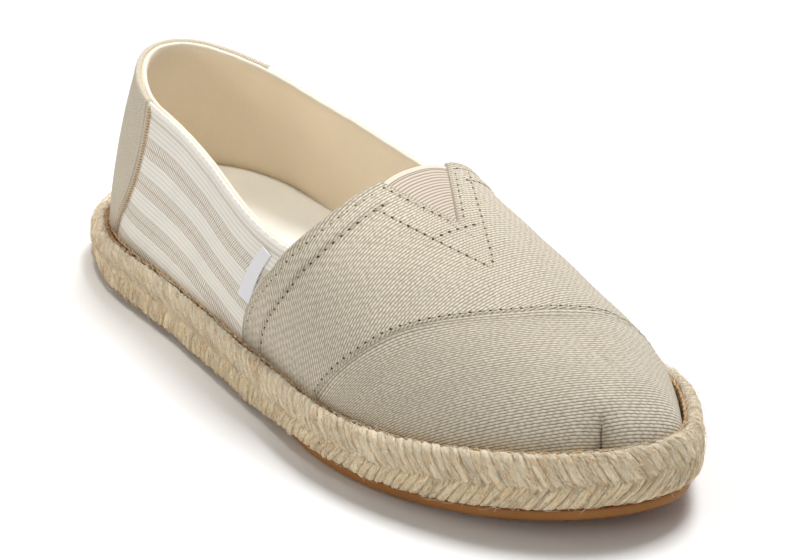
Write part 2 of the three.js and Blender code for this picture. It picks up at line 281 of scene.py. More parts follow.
def shell(name, p, n, out, inn, uv, mats, round_first=True, round_last=True, steps=6, inside=1, attrs=None,
          end_drop=0.0, end_width=1.0, zipped=False, **kw):
    """A sheet with a thickness from the grid p: closed, with half-round edges on its first and last rows."""
    ni, nj = p.shape[:2]
    out, inn = np.broadcast_to(out, (ni, nj)).copy(), np.broadcast_to(inn, (ni, nj)).copy()
    if end_drop:
        s = run_length(p, 1)
        d = np.minimum(s, s[:, -1:] - s) / end_width
        out -= end_drop * (1 - np.sqrt(np.clip(1 - (1 - np.clip(d, 0, 1)) ** 2, 0, 1)))
    rows, uvr, where = [], [], []
    top, bot = p + n * out[..., None], p + n * inn[..., None]
    for i in range(ni):
        rows.append(top[i]); uvr.append(uv[i]); where.append((i, 0))

    def turn(i, inner_neighbour):
        tangent = unit(p[i] - p[inner_neighbour])
        grow = (uv[i] - uv[inner_neighbour]) / np.maximum(np.linalg.norm(p[i] - p[inner_neighbour], axis=-1, keepdims=True), .02)
        grow = grow / np.maximum(np.linalg.norm(grow, axis=-1, keepdims=True), 1.0)
        half, mid = (out[i] - inn[i]) / 2, (out[i] + inn[i]) / 2
        res = []
        for k in range(1, steps):
            a = PI * k / steps
            res.append((p[i] + n[i] * (mid + half * np.cos(a))[:, None] + tangent * (half * np.sin(a))[:, None], uv[i] + grow * (half * a)[:, None]))
        return res
    if round_last:
        for q, l in turn(ni - 1, ni - 2):
            rows.append(q); uvr.append(l); where.append((ni - 1, 1))
    for i in range(ni - 1, -1, -1):
        rows.append(bot[i]); uvr.append(uv[i]); where.append((i, 2))
    if round_first:
        for q, l in reversed(turn(0, 1)):
            rows.append(q); uvr.append(l); where.append((0, 1))
    v = np.array(rows)
    m = len(rows)
    f = sheet_faces(m, nj, wrap_i=True)
    part = np.array([w[1] for w in where])
    both = np.minimum(part, np.roll(part, -1))
    idx = np.repeat(np.where(both == 2, inside, 0), nj - 1)
    # ends: the profile's two sides are joined across
    caps = []
    back = {w[0]: k for k, w in enumerate(where) if w[1] == 2}
    for i in range(ni - 1):
        a, b, c, d = i, i + 1, back[i + 1], back[i]
        caps.append([a * nj, b * nj, c * nj, d * nj])
        caps.append([d * nj + nj - 1, c * nj + nj - 1, b * nj + nj - 1, a * nj + nj - 1])
    tris = []
    for first, chain in ((ni - 1, list(range(ni - 1, ni + (steps - 1 if round_last else 0) + 1))),
                         (0, [k % m for k in range(back[0], m + 1)])):
        for k in range(1, len(chain) - 1):
            tris.append([chain[0] * nj, chain[k] * nj, chain[k + 1] * nj])
            tris.append([chain[k + 1] * nj + nj - 1, chain[k] * nj + nj - 1, chain[0] * nj + nj - 1])
    caps, tris = np.array(caps), np.array(tris).reshape(-1, 3)
    if zipped:                                    # the last row closes on itself, so its edge strip is left out
        cut = slice((ni - 1) * (nj - 1), ni * (nj - 1))
        f, idx = np.delete(f, cut, 0), np.delete(idx, cut)
    index = np.concatenate([idx, np.zeros(len(caps)), np.zeros(len(tris))])
    vv = v.reshape(-1, 3)
    # faces point out
    c = np.cross(vv[f[:, 2]] - vv[f[:, 0]], vv[f[:, 3]] - vv[f[:, 1]])
    nn = np.array([n[w[0]] * (1 if w[1] == 0 else -1 if w[1] == 2 else 0) for w in where]).reshape(-1, 3)[f[:, 0]]
    if np.sum(c * nn) < 0:
        f, caps, tris = f[:, ::-1], caps[:, ::-1], tris[:, ::-1]
    at = {k: np.array([a[w[0]] for w in where]).ravel() for k, a in (attrs or {}).items()}
    return make(name, vv, [f, caps, tris], mats, index, {"weave": np.array(uvr).reshape(-1, 2)}, at, **kw)


def tubes(paths, radii, sides=6, taper=False, caps=True):
    """Closed tubes along (count, points, 3) paths. Returns verts, faces."""
    paths = np.asarray(paths, float)
    c, k = paths.shape[:2]
    tan = unit(np.gradient(paths, axis=1))
    ref = np.zeros_like(tan); ref[..., 2] = 1
    side = np.cross(tan, ref)
    bad = np.linalg.norm(side, axis=-1) < 0.2
    side[bad] = np.cross(tan[bad], [1.0, 0, 0])
    side = unit(side)
    up = np.cross(side, tan)
    rad = np.broadcast_to(np.asarray(radii, float), (c, k)).copy() if np.ndim(radii) < 2 else np.asarray(radii, float)
    a = 2 * PI * np.arange(sides) / sides
    ring = (paths[:, :, None] + rad[..., None, None] * (np.cos(a)[None, None, :, None] * side[:, :, None]
            + np.sin(a)[None, None, :, None] * up[:, :, None]))
    v = ring.reshape(-1, 3)
    one = sheet_faces(k, sides, wrap_j=True, flip=True)
    f = (one[None] + (np.arange(c) * k * sides)[:, None, None]).reshape(-1, 4)
    e = np.arange(sides)
    ends = np.stack([e, (e + (k - 1) * sides)[::-1]])
    cap = (ends[None] + (np.arange(c) * k * sides)[:, None, None]).reshape(-1, sides)
    return v, [f, cap], np.repeat(np.arange(c), k * sides)


# ------------------------------------------------------------------ materials
class Mat:
    """A small builder for procedural materials."""

    def __init__(self, name, rough=0.9, sheen=0.0, spec=0.3):
        self.m = bpy.data.materials.new(name)
        self.m.use_nodes = True
        self.t = self.m.node_tree
        self.t.nodes.clear()
        self.b = self.t.nodes.new("ShaderNodeBsdfPrincipled")
        out = self.t.nodes.new("ShaderNodeOutputMaterial")
        self.t.links.new(self.b.outputs[0], out.inputs[0])
        self.b.inputs["Roughness"].default_value = rough
        self.b.inputs["Specular IOR Level"].default_value = spec
        self.b.inputs["Sheen Weight"].default_value = sheen
        self.b.inputs["Sheen Roughness"].default_value = 0.6

    def put(self, sock, x):
        if hasattr(x, "is_output"):
            self.t.links.new(x, sock)
        elif x is not None:
            sock.default_value = x

    def math(self, op, a, b=None, c=None, clamp=False):
        n = self.t.nodes.new("ShaderNodeMath")
        n.operation, n.use_clamp = op, clamp
        for s, x in zip(n.inputs, (a, b, c)):
            self.put(s, x)
        return n.outputs[0]

    def add(self, a, b): return self.math("ADD", a, b)
    def sub(self, a, b): return self.math("SUBTRACT", a, b)
    def mul(self, a, b): return self.math("MULTIPLY", a, b)

    def step(self, a, b, x):
        """Soft step from 0 at a to 1 at b."""
        n = self.t.nodes.new("ShaderNodeMapRange")
        n.interpolation_type = "SMOOTHSTEP"
        for k, val in zip(("Value", "From Min", "From Max", "To Min", "To Max"), (x, a, b, 0.0, 1.0)):
            self.put(n.inputs[k], val)
        return n.outputs[0]

    def uv(self, name):
        n = self.t.nodes.new("ShaderNodeUVMap")
        n.uv_map = name
        s = self.t.nodes.new("ShaderNodeSeparateXYZ")
        self.t.links.new(n.outputs[0], s.inputs[0])
        return s.outputs[0], s.outputs[1]

    def attr(self, name):
        n = self.t.nodes.new("ShaderNodeAttribute")
        n.attribute_name = name
        return n.outputs["Fac"]

    def obj(self):
        n = self.t.nodes.new("ShaderNodeTexCoord")
        return n.outputs["Object"]

    def vec(self, x, y, z=0.0):
        n = self.t.nodes.new("ShaderNodeCombineXYZ")
        for s, v in zip(n.inputs, (x, y, z)):
            self.put(s, v)
        return n.outputs[0]

    def noise(self, vec, scale=1.0, detail=2.0, rough=0.5):
        n = self.t.nodes.new("ShaderNodeTexNoise")
        self.put(n.inputs["Vector"], vec)
        n.inputs["Scale"].default_value = scale
        n.inputs["Detail"].default_value = detail
        n.inputs["Roughness"].default_value = rough
        return n.outputs["Fac"]

    def mix(self, fac, a, b, blend="MIX"):
        n = self.t.nodes.new("ShaderNodeMix")
        n.data_type, n.blend_type = "RGBA", blend
        self.put(n.inputs[0], fac)
        for s, x in ((n.inputs[6], a), (n.inputs[7], b)):
            self.put(s, (*x, 1.0) if isinstance(x, tuple) and len(x) == 3 else x)
        return n.outputs[2]

    def gain(self, colour, factor):
        """colour times a grey factor."""
        n = self.t.nodes.new("ShaderNodeVectorMath")
        n.operation = "SCALE"
        self.put(n.inputs[0], colour)
        self.put(n.inputs["Scale"], factor)
        return n.outputs[0]

    def bump(self, height, distance, strength=1.0, normal=None):
        n = self.t.nodes.new("ShaderNodeBump")
        n.inputs["Distance"].default_value = distance
        n.inputs["Strength"].default_value = strength
        self.put(n.inputs["Height"], height)
        if normal is not None:
            self.put(n.inputs["Normal"], normal)
        return n.outputs[0]

    def finish(self, colour=None, normal=None, rough=None):
        if colour is not None:
            self.put(self.b.inputs["Base Color"], (*colour, 1.0) if isinstance(colour, tuple) else colour)
        if normal is not None:
            self.put(self.b.inputs["Normal"], normal)
        if rough is not None:
            self.put(self.b.inputs["Roughness"], rough)
        return self.m


def lin(r, g, b):
    """sRGB 0-255 to linear."""
    return tuple((c / 255 / 12.92) if c <= 10 else ((c / 255 + 0.055) / 1.055) ** 2.4 for c in (r, g, b))


def canvas(name, thread, gap, rib=0.9, bead=1.9, relief=0.00014, crossing=0.45):
    """Ribbed plain weave: ribs run along V, at the pitch rib along U; uv 'weave' is in mm."""
    m = Mat(name, rough=0.92, sheen=0.12, spec=0.18)
    x, y = m.uv("weave")
    wob = m.noise(m.vec(m.mul(x, 0.09), m.mul(y, 0.04)), 1.0, 2)
    x = m.add(x, m.mul(m.sub(wob, 0.5), 1.2))
    k = m.math("FLOOR", m.math("DIVIDE", x, rib))
    fx = m.math("FRACT", m.math("DIVIDE", x, rib))
    ribh = m.math("POWER", m.math("SINE", m.mul(fx, PI)), 0.75)
    yw = m.add(y, m.mul(m.noise(m.vec(m.mul(k, 3.7), m.mul(y, 0.34)), 1.0, 3, 0.6), 3.4))
    ph = m.mul(m.add(m.math("DIVIDE", yw, bead), m.mul(k, 0.5)), 2 * PI)
    bd = m.add(0.5, m.mul(m.math("COSINE", ph), 0.5))
    h = m.mul(ribh, m.add(1 - crossing, m.mul(bd, crossing)))
    yarn = m.noise(m.vec(m.mul(k, 1.73), m.mul(y, 0.06)), 1.0, 3, 0.6)
    fibre = m.noise(m.vec(m.mul(x, 2.6), m.mul(y, 2.2)), 1.0, 2, 0.6)
    big = m.noise(m.vec(m.mul(x, 0.03), m.mul(y, 0.03)), 1.0, 2)
    hh = m.add(h, m.mul(m.sub(fibre, 0.5), 0.40))
    # painted shade and highlight: low points between the ribs take the dark gap colour, and the highest points of the
    # threads are lightened
    col = m.mix(m.step(0.06, 0.72, hh), gap, thread)
    col = m.mix(m.mul(m.step(0.78, 1.05, hh), 0.7), col, tuple(1 - (1 - c) * 0.62 for c in thread))
    col = m.gain(col, m.add(0.86, m.add(m.mul(yarn, 0.17), m.mul(big, 0.11))))
    # painted shade: where the 'shade' attribute is set, the cloth is darkened towards its gap colour
    painted_shade = m.attr("shade")
    col = m.mix(painted_shade, col, m.gain(m.mix(0.35, col, gap), 0.72))
    n = m.bump(m.add(h, m.mul(fibre, 0.2)), relief)
    return m.finish(col, n)


CANVAS = canvas("canvas_beige", lin(222, 213, 195), lin(138, 122, 95))
CANVAS_HEEL = canvas("canvas_heel", lin(215, 205, 186), lin(172, 157, 132), rib=0.85, bead=0.85, relief=0.00008)


def knit(name):
    """Striped elastic knit of the quarters: U along the quarter, V below the topline, mm."""
    m = Mat(name, rough=0.9, sheen=0.15, spec=0.2)
    x, y = m.uv("weave")
    wav = m.sub(m.noise(m.vec(m.mul(x, 0.06), m.mul(y, 0.05)), 1.0, 2), 0.5)
    yy = m.add(y, m.mul(wav, 0.7))
    band = None
    for a, b in ((8.75, 14.43), (20.11, 25.8), (31.5, 37.2), (42.8, 48.5)):
        one = m.mul(m.step(a - 0.25, a + 0.25, yy), m.sub(1.0, m.step(b - 0.25, b + 0.25, yy)))
        band = one if band is None else m.add(band, one)
    rim = m.mul(m.step(2.3, 2.5, yy), m.sub(1.0, m.step(3.3, 3.6, yy)))
    # strokes across the stripe, two rows to a stripe
    at = m.math("DIVIDE", m.sub(yy, 8.75), 2.842)
    row = m.math("FLOOR", at)
    fy = m.math("FRACT", at)
    jit = m.noise(m.vec(m.mul(row, 5.3), m.mul(x, 0.30)), 1.0, 2)
    px = m.mul(m.add(m.math("DIVIDE", m.add(x, m.mul(fy, 0.45)), 0.96), m.add(m.mul(row, 0.5), m.mul(jit, 0.9))), 2 * PI)
    col_h = m.add(0.5, m.mul(m.math("COSINE", px), 0.5))
    row_h = m.math("POWER", m.math("SINE", m.mul(fy, PI)), 0.4)
    cell = m.mul(col_h, row_h)
    fine = m.noise(m.vec(m.mul(x, 2.4), m.mul(y, 2.4)), 1.0, 2, 0.6)
    # white ground: lengthwise cords, and small slanting loops
    cord = m.math("POWER", m.math("SINE", m.mul(m.math("FRACT", m.math("DIVIDE", yy, 1.42)), PI)), 0.8)
    loop = m.add(0.5, m.mul(m.math("COSINE", m.mul(m.add(m.math("DIVIDE", m.add(x, yy), 0.70), m.mul(jit, 0.6)), 2 * PI)), 0.5))
    ground = m.mul(cord, m.add(0.6, m.mul(loop, 0.4)))
    white, hollow = lin(246, 243, 236), lin(226, 220, 208)
    taupe, pale = lin(184, 168, 143), lin(246, 242, 234)
    c_ground = m.mix(m.step(0.05, 0.8, m.add(ground, m.mul(m.sub(fine, 0.5), 0.7))), hollow, white)
    c_band = m.mix(m.step(0.14, 0.56, m.add(cell, m.mul(m.sub(fine, 0.5), 0.35))), taupe, pale)
    fade = m.add(0.66, m.mul(m.noise(m.vec(m.mul(x, 0.25), m.mul(y, 1.2)), 1.0, 2), 0.5))
    col = m.mix(m.math("MINIMUM", m.mul(m.add(band, m.mul(rim, 0.55)), fade), 1.0), c_ground, c_band)
    big = m.noise(m.vec(m.mul(x, 0.05), m.mul(y, 0.05)), 1.0, 2)
    col = m.gain(col, m.add(0.93, m.mul(big, 0.13)))
    col = m.mix(m.attr("shade"), col, m.gain(m.mix(0.4, col, lin(190, 160, 120)), 0.72))
    h = m.add(m.mul(band, cell), m.mul(m.sub(1.0, band), m.mul(ground, 0.6)))
    return m.finish(col, m.bump(m.add(h, m.mul(fine, 0.3)), 0.00012))


KNIT = knit("striped_knit")


def soft_cloth(name, colour, dark, rough=0.85, sheen=0.1, relief=0.00003, grain=1500.0, spread=0.10):
    m = Mat(name, rough=rough, sheen=sheen, spec=0.25)
    o = m.obj()
    a = m.noise(o, grain, 3, 0.6)
    b = m.noise(o, 38.0, 3)
    c = m.noise(o, 300.0, 2)
    col = m.mix(m.step(0.25, 0.75, b), m.gain(m.mix(0.0, colour, dark), 1 - spread), colour)
    col = m.gain(col, m.add(0.95, m.mul(a, 0.10)))
    return m.finish(col, m.bump(m.add(a, m.mul(c, 0.8)), relief))


LINING = soft_cloth("lining_cream", lin(243, 228, 204), lin(228, 208, 176), rough=0.7, spread=0.05, grain=1100.0)
BINDING = soft_cloth("edge_cream", lin(240, 233, 216), lin(220, 205, 175), relief=0.00006, grain=2600.0)
PADCLOTH = soft_cloth("footbed_cloth", lin(243, 241, 233), lin(232, 227, 213), relief=0.00006, grain=2200.0, spread=0.05)
TABCLOTH = soft_cloth("tab_cloth", lin(238, 238, 243), lin(220, 219, 230), relief=0.00005, grain=2600.0, spread=0.04)
PATCHCLOTH = soft_cloth("patch_cloth", lin(70, 84, 98), lin(40, 50, 62), relief=0.00008, grain=2400.0, spread=0.12)
# dark brown for the discs at the stitch holes: painted shade
HOLE_SHADE_CLOTH = soft_cloth("needle_hole_shade", lin(70, 54, 38), lin(46, 36, 26), relief=0.00002, spread=0.2)
THREAD = soft_cloth("thread_beige", lin(208, 198, 174), lin(182, 168, 142), relief=0.00005, grain=4200.0)


def gore_cloth(name):
    m = Mat(name, rough=0.85, sheen=0.2, spec=0.25)
    x, y = m.uv("weave")
    fx = m.math("FRACT", m.math("DIVIDE", x, 1.12))
    rib = m.math("POWER", m.math("SINE", m.mul(fx, PI)), 0.8)
    knot = m.add(0.5, m.mul(m.math("COSINE", m.mul(m.math("DIVIDE", y, 0.7), 2 * PI)), 0.5))
    fine = m.noise(m.vec(m.mul(x, 3.0), m.mul(y, 4.0)), 1.0, 2, 0.6)
    h = m.mul(rib, m.add(0.85, m.mul(knot, 0.15)))
    col = m.mix(m.step(0.1, 0.85, m.add(h, m.mul(m.sub(fine, 0.5), 0.3))), lin(152, 134, 114), lin(218, 205, 189))
    band = m.sub(1.0, m.step(1.25, 1.55, x))
    line = m.mul(m.step(1.2, 1.4, x), m.sub(1.0, m.step(1.6, 1.85, x)))
    col = m.mix(band, col, lin(226, 216, 200))
    col = m.mix(m.mul(line, 0.75), col, lin(120, 98, 80))
    return m.finish(col, m.bump(m.mul(h, m.sub(1.0, band)), 0.0002))


GORE = gore_cloth("elastic_rib")


def jute(name, low=False):
    """Strands of loose fibre: uv 'fib' is (mm across the strand, mm along it)."""
    m = Mat(name, rough=0.95, sheen=0.2, spec=0.1)
    x, y = m.uv("fib")
    gap = m.attr("gap")          # 0 on top of a strand, 1 in the gap beside it
    own = m.attr("own")          # one number for each strand
    pale = m.attr("pale")
    warp = m.mul(m.sub(m.noise(m.vec(m.mul(x, 0.40), m.mul(y, 0.26), own), 1.0, 2), 0.5), 2.6)
    xx = m.add(x, warp)
    f1 = m.noise(m.vec(m.mul(xx, 2.3), m.mul(y, 0.26), own), 1.0, 3, 0.7)
    f2 = m.noise(m.vec(m.mul(xx, 6.5), m.mul(y, 0.6), m.add(own, 7.0)), 1.0, 3, 0.7)
    f3 = m.noise(m.vec(m.mul(m.sub(x, m.mul(y, 0.8)), 2.6), m.mul(m.add(y, m.mul(x, 0.8)), 0.35), 3.0), 1.0, 2, 0.6)
    f4 = m.noise(m.vec(m.mul(m.add(x, m.mul(y, 1.1)), 2.4), m.mul(m.sub(y, m.mul(x, 1.1)), 0.3), 5.0), 1.0, 2, 0.6)
    fib = m.add(m.mul(f1, 0.50), m.add(m.mul(f2, 0.30), m.add(m.mul(f3, 0.22), m.mul(f4, 0.20))))
    straw, deep, light = lin(255, 236, 198), lin(214, 164, 112), lin(255, 251, 234)
    if low:
        straw, deep, light = lin(255, 232, 188), lin(208, 154, 102), lin(255, 249, 224)
    col = m.mix(m.step(0.46, 0.60, fib), deep, straw)
    col = m.mix(m.mul(m.step(0.58, 0.72, fib), 0.9), col, light)
    tint = m.noise(m.vec(m.mul(x, 0.30), m.mul(y, 0.22), m.mul(own, 0.37)), 1.0, 2)
    col = m.mix(m.mul(m.step(0.54, 0.74, tint), 0.30), col, lin(230, 188, 148))
    col = m.mix(m.mul(pale, 0.6), col, m.mix(m.step(0.38, 0.66, fib), lin(244, 226, 192), lin(255, 251, 238)))
    col = m.gain(col, m.add(0.96, m.mul(m.math("FRACT", m.mul(own, 7.31)), 0.12)))
    speck = m.noise(m.vec(m.mul(x, 0.9), m.mul(y, 0.5), 11.0), 1.0, 2, 0.6)
    col = m.mix(m.mul(m.step(0.62, 0.72, speck), 0.50 if low else 0.25), col, lin(204, 144, 100))
    # painted shade: the gaps between strands are darkened towards dark brown
    col = m.mix(m.mul(m.step(0.66, 0.90, gap), 0.95), col, lin(120, 70, 34))
    return m.finish(col, m.bump(fib, 0.0010))


JUTE_UP, JUTE_LOW = jute("jute_upper_row"), jute("jute_lower_row", True)


def hair(name, a, b):
    m = Mat(name, rough=0.9, sheen=0.2, spec=0.15)
    t = m.attr("own")
    return m.finish(m.mix(t, a, b))


FIBRE = hair("jute_fibre", lin(216, 184, 138), lin(255, 248, 230))
CORE = soft_cloth("jute_core", lin(176, 138, 92), lin(120, 84, 50), relief=0.0003, grain=900.0, spread=0.3)


def rubber(name):
    m = Mat(name, rough=0.55, spec=0.45)
    o = m.obj()
    a = m.noise(o, 1400.0, 3, 0.6)
    b = m.noise(o, 60.0, 3)
    col = m.mix(m.step(0.2, 0.8, b), lin(150, 98, 44), lin(168, 114, 56))
    col = m.gain(col, m.add(0.93, m.mul(a, 0.14)))
    return m.finish(col, m.bump(m.add(a, m.mul(b, 0.6)), 0.00006), m.add(0.5, m.mul(a, 0.22)))


RUBBER = rubber("gum_rubber")

# ------------------------------------------------------------------ canvas panels
rng = np.random.default_rng(11)


def ripple(p, amp=0.22):
    """Slow unevenness of a hand-lasted cloth."""
    x, y, z = p[..., 0], p[..., 1], p[..., 2]
    return amp * (np.sin(x * .11 + y * .07 + 1.3) * np.sin(y * .13 - z * .09 + .4)
                  + .6 * np.sin(x * .21 - z * .17 + 2.1) * np.sin(y * .19 + x * .05))


def rows_along(q0, q1, r, count, close=(0, .18, .45, .8, 1.25, 1.8), far=True):
    """Rows from q0 to q1 on every column, a few of them close to both ends."""
    probe = across(q0[None] + (q1 - q0)[None] * np.linspace(0, 1, 30)[:, None], r[None])
    length = np.linalg.norm(np.diff(probe, axis=0), axis=-1).sum(0)
    close = np.array(close)
    w = []
    for l in length:
        a = close / l
        b = np.linspace(a[-1], 1 - (a[-1] if far else 0), count)[1:-1 if far else None]
        w.append(np.concatenate([a, b, (1 - a[::-1]) if far else []]))
    w = np.array(w).T
    return q0[None] + (q1 - q0)[None] * w, w * length[None], length


_seg = [np.linspace(-1, R_OUT, 84), np.linspace(R_OUT, R_TIP, 16)[1:], np.linspace(R_TIP, R_IN, 26)[1:], np.linspace(R_IN, 1, 84)[1:]]
VR = np.concatenate(_seg)
VQ, V_FROM_BACK, V_LEN = rows_along(vamp_back(VR), TOE_SEAM(VR), VR, 56)
VP = across(VQ, VR[None])
VN = normals(VP)
# weave: U is the length along the ridge at this x, V the length down from the ridge
_rx = np.linspace(100, 256, 400)
_rz = cub(RIDGE_X, RIDGE_Z, _rx)
_rs = np.concatenate([[0], np.cumsum(np.hypot(np.diff(_rx), np.diff(_rz)))])


def cloth_uv(p):
    side = run_length(p, 1)
    mid = np.argmin(np.abs(VR))
    return np.stack([np.interp(p[..., 0], _rx, _rs), side - side[:, mid:mid + 1]], -1)


VUV = cloth_uv(VP)
GUARD = V_LEN[None] - V_FROM_BACK          # distance to the toe seam
# the back edge is folded under, and sewn down along a second line some way in
FOLD_W = np.interp(np.abs(VR), [0, .2, .45, .76, .9, 1], [6.2, 6.4, 7.0, 8.6, 10.2, 11.0])
fold = 1 - smooth(FOLD_W[None] + .1, FOLD_W[None] + 1.5, V_FROM_BACK)
notch_zone = (VR > R_OUT - .02) & (VR < R_IN + .02)
v_out = 0.16 + 0.28 * fold * (1 - .4 * notch_zone[None])
v_out += -0.22 * np.exp(-((V_FROM_BACK - FOLD_W[None]) / .55) ** 2) + .20 * np.exp(-((V_FROM_BACK - FOLD_W[None] + 1.5) / .7) ** 2)
v_out += -0.18 * np.exp(-((V_FROM_BACK - 1.6) / .5) ** 2) - 0.10 * np.exp(-((GUARD - 1.0) / .5) ** 2)
v_out += .12 * np.exp(-(GUARD / 3.0) ** 2)
VP = VP + VN * ripple(VP)[..., None] * smooth(0, 12, V_FROM_BACK)[..., None] * smooth(0, 10, GUARD)[..., None]
v_shade = 0.55 * np.exp(-((V_FROM_BACK - FOLD_W[None] + .3) / .7) ** 2) * (np.abs(VR) > .2)[None] * (VR < 0)[None]
v_shade = v_shade + .35 * np.exp(-(V_FROM_BACK / .9) ** 2) + .25 * np.exp(-(GUARD / .7) ** 2)
v_shade = v_shade + .8 * smooth(.92, 1.0, np.abs(VR))[None]
VO = VP + VN * v_out[..., None]
shell("vamp", VP, VN, v_out, -1.75, VUV, [CANVAS, LINING], attrs={"shade": v_shade},
                  slot="canvas", replaces=("upper",))


# ---- toe cap: ribs lie along the toe seam and wrap round the toe
def spread_from(p, start):
    """Distance over the surface from the start points, on a grid of points."""
    d = np.where(start, 0.0, 1e6)
    ni, nj = d.shape
    pad = lambda a, v: np.pad(a, ((1, 1), (1, 1)) + ((0, 0),) * (a.ndim - 2), constant_values=v)
    pp = np.pad(p, ((1, 1), (1, 1), (0, 0)), mode="edge")
    around = [(-1, 0), (-1, 1), (0, 1), (1, 1), (1, 0), (1, -1), (0, -1), (-1, -1)]
    geo = []
    for k in range(8):
        a, b = around[k], around[(k + 1) % 8]
        pa = pp[1 + a[0]:1 + a[0] + ni, 1 + a[1]:1 + a[1] + nj]
        pb = pp[1 + b[0]:1 + b[0] + ni, 1 + b[1]:1 + b[1] + nj]
        for s in (0, .25, .5, .75):
            geo.append((a, b, s, np.linalg.norm(pa * (1 - s) + pb * s - p, axis=-1)))
    for _ in range(2 * (ni + nj)):
        dd, old = pad(d, 1e6), d
        for a, b, s, l in geo:
            da = dd[1 + a[0]:1 + a[0] + ni, 1 + a[1]:1 + a[1] + nj]
            db = dd[1 + b[0]:1 + b[0] + ni, 1 + b[1]:1 + b[1] + nj]
            d = np.minimum(d, da * (1 - s) + db * s + l)
        if np.max(old - d) < 1e-3:
            break
    return d


TR = np.linspace(-1, 1, 141)
TQ0 = TOE_SEAM(TR) - .0035
TQ, T_FROM, T_LEN = rows_along(TQ0, np.ones_like(TR), TR, 96, far=False)
TP = across(TQ, TR[None])
TP[-1] = (TP[-1] + TP[-1][::-1]) / 2          # the two halves meet on the toe's middle line
# distances on a coarser copy, which also holds the far half beyond the toe's middle line
ci, cj = np.unique(np.r_[0:TP.shape[0]:2, TP.shape[0] - 1]), np.arange(0, 141, 2)
half = TP[np.ix_(ci, cj)]
both = np.concatenate([half, half[-2::-1, ::-1]])
s0 = np.zeros(both.shape[:2], bool); s0[0] = True; s0[-1] = True
U0 = spread_from(both, s0)[:len(ci)]
s1 = np.zeros(both.shape[:2], bool); s1[:, 35] = True; s1[len(ci) - 1] = True
V0 = spread_from(both, s1)[:len(ci)] * np.where(cj < 70, -1.0, 1.0)[None]


def regrid(a):
    b = np.array([np.interp(np.arange(141), cj, row) for row in a])
    return np.array([np.interp(np.arange(TP.shape[0]), ci, b[:, j]) for j in range(141)]).T


def blur(a, n):
    for _ in range(n):
        p = np.pad(a, 1, mode="edge")
        a = (p[1:-1, 1:-1] * 4 + p[:-2, 1:-1] + p[2:, 1:-1] + p[1:-1, :-2] + p[1:-1, 2:]) / 8
    return a


TU, TV = regrid(blur(U0, 4)), regrid(V0)


def tilt(p):
    """Turn of the plane through p about a slanting axis under the sole: the ribs lie in such planes."""
    return np.arctan2(.866 * p[..., 0] - .5 * p[..., 1] - 135.0, p[..., 2] + 40.0)


_centre = np.concatenate([TP[:, 70], TP[-1, 71:]])                   # ridge, then down to the toe tip
_line = np.maximum.accumulate(tilt(_centre))
_reach = np.concatenate([[0], np.cumsum(np.linalg.norm(np.diff(_centre, axis=0), axis=1))])
_keep = np.concatenate([[True], np.diff(_line) > 1e-5])
_line, _reach, _at = _line[_keep], _reach[_keep], tilt(TP)
_rate = (_reach[-1] - _reach[-14]) / (_line[-1] - _line[-14])
_planes = np.interp(_at, _line, _reach) + np.maximum(_at - _line[-1], 0) * _rate
_w = smooth(1, 13, TU)
TU = TU * (1 - _w) + _planes * _w
_off = float(np.interp(across(TOE_SEAM(np.array(0.0)), 0.0)[0], _rx, _rs))
TN = normals(TP)
TN[-1] = unit(TN[-1] + TN[-1][::-1])
# the pleat beside the toe, with soft puckers around it
lat = TR[None] < 0
tt = 1 - np.abs(TR)[None]
along = np.where(lat, (TQ - .9035) * PI * 58 * (1 - .45 * tt), 60.0)
deep = 1 - smooth(.27, .50, tt)
pleat = -1.9 * np.exp(-(along / .75) ** 2) * deep - 1.1 * np.exp(-(along / 4.2) ** 2) * deep
pleat += .55 * np.exp(-((np.abs(along) - 5.5) / 3.0) ** 2) * (1 - smooth(.3, .62, tt))
pleat += .55 * np.exp(-(along / 6.0) ** 2) * np.exp(-((tt - .56) / .10) ** 2)
pleat = pleat * smooth(-.02, .06, tt + .03)
TP = TP + TN * (pleat + ripple(TP, .16) * smooth(0, 10, T_FROM))[..., None]
TN = normals(TP)
TN[-1] = unit(TN[-1] + TN[-1][::-1])
TU = TU - .7 * np.exp(-(along / 4.5) ** 2) * deep
t_shade = .85 * np.exp(-(along / .55) ** 2) * deep + .35 * np.exp(-(along / 3.2) ** 2) * deep + .8 * smooth(.90, 1.0, np.abs(TR))[None]
t_shade = t_shade + .35 * np.exp(-((T_FROM - 1.6) / .8) ** 2)
TUV = np.stack([_off + TU, TV], -1)
TP = TP + TN * (1.9 * smooth(.84, .97, TQ) * np.exp(-((tt - .26) / .22) ** 2))[..., None]
TN = normals(TP)
TN[-1] = unit(TN[-1] + TN[-1][::-1])
t_out = np.full(TP.shape[:2], 0.0)
toe_cap = shell("toe_cap", TP, TN, t_out, -1.6, TUV, [CANVAS, LINING], round_last=False,
                attrs={"shade": np.clip(t_shade, 0, 1)}, slot="canvas", zipped=True, weld=5e-6)


# ---- panels beside and behind the foot: grid from the topline down, signed share f of pi
def wrap_panel(f_of, count, t_low, rows, lift=0.0):
    """f_of(t) gives the two ends. Returns the points, from the topline (first row) down."""
    w = np.linspace(0, 1, count)
    f = np.linspace(f_of(np.array(.4))[0], f_of(np.array(.4))[1], count)
    t = np.zeros((rows, count))
    for _ in range(6):                        # the ends slant, so the topline is read again for them
        tt_ = top_t(f)
        close = np.array([0, .004, .010, .018, .028])
        down = np.concatenate([close, np.linspace(close[-1], 1, rows - 4)[1:]])
        t = tt_[None] * (1 - down[:, None]) + t_low * down[:, None]
        a, b = f_of(t)
        f2 = a + (b - a) * w[None]
        f = f2[0]
    p = last(np.mod(f2, 2) * PI, t)
    return p, f2, t


def topline_uv(p):
    down = run_length(p, 0)
    side = run_length(p, 1)
    return np.stack([np.broadcast_to(side[len(side) // 3:len(side) // 3 + 1], side.shape), down], -1)


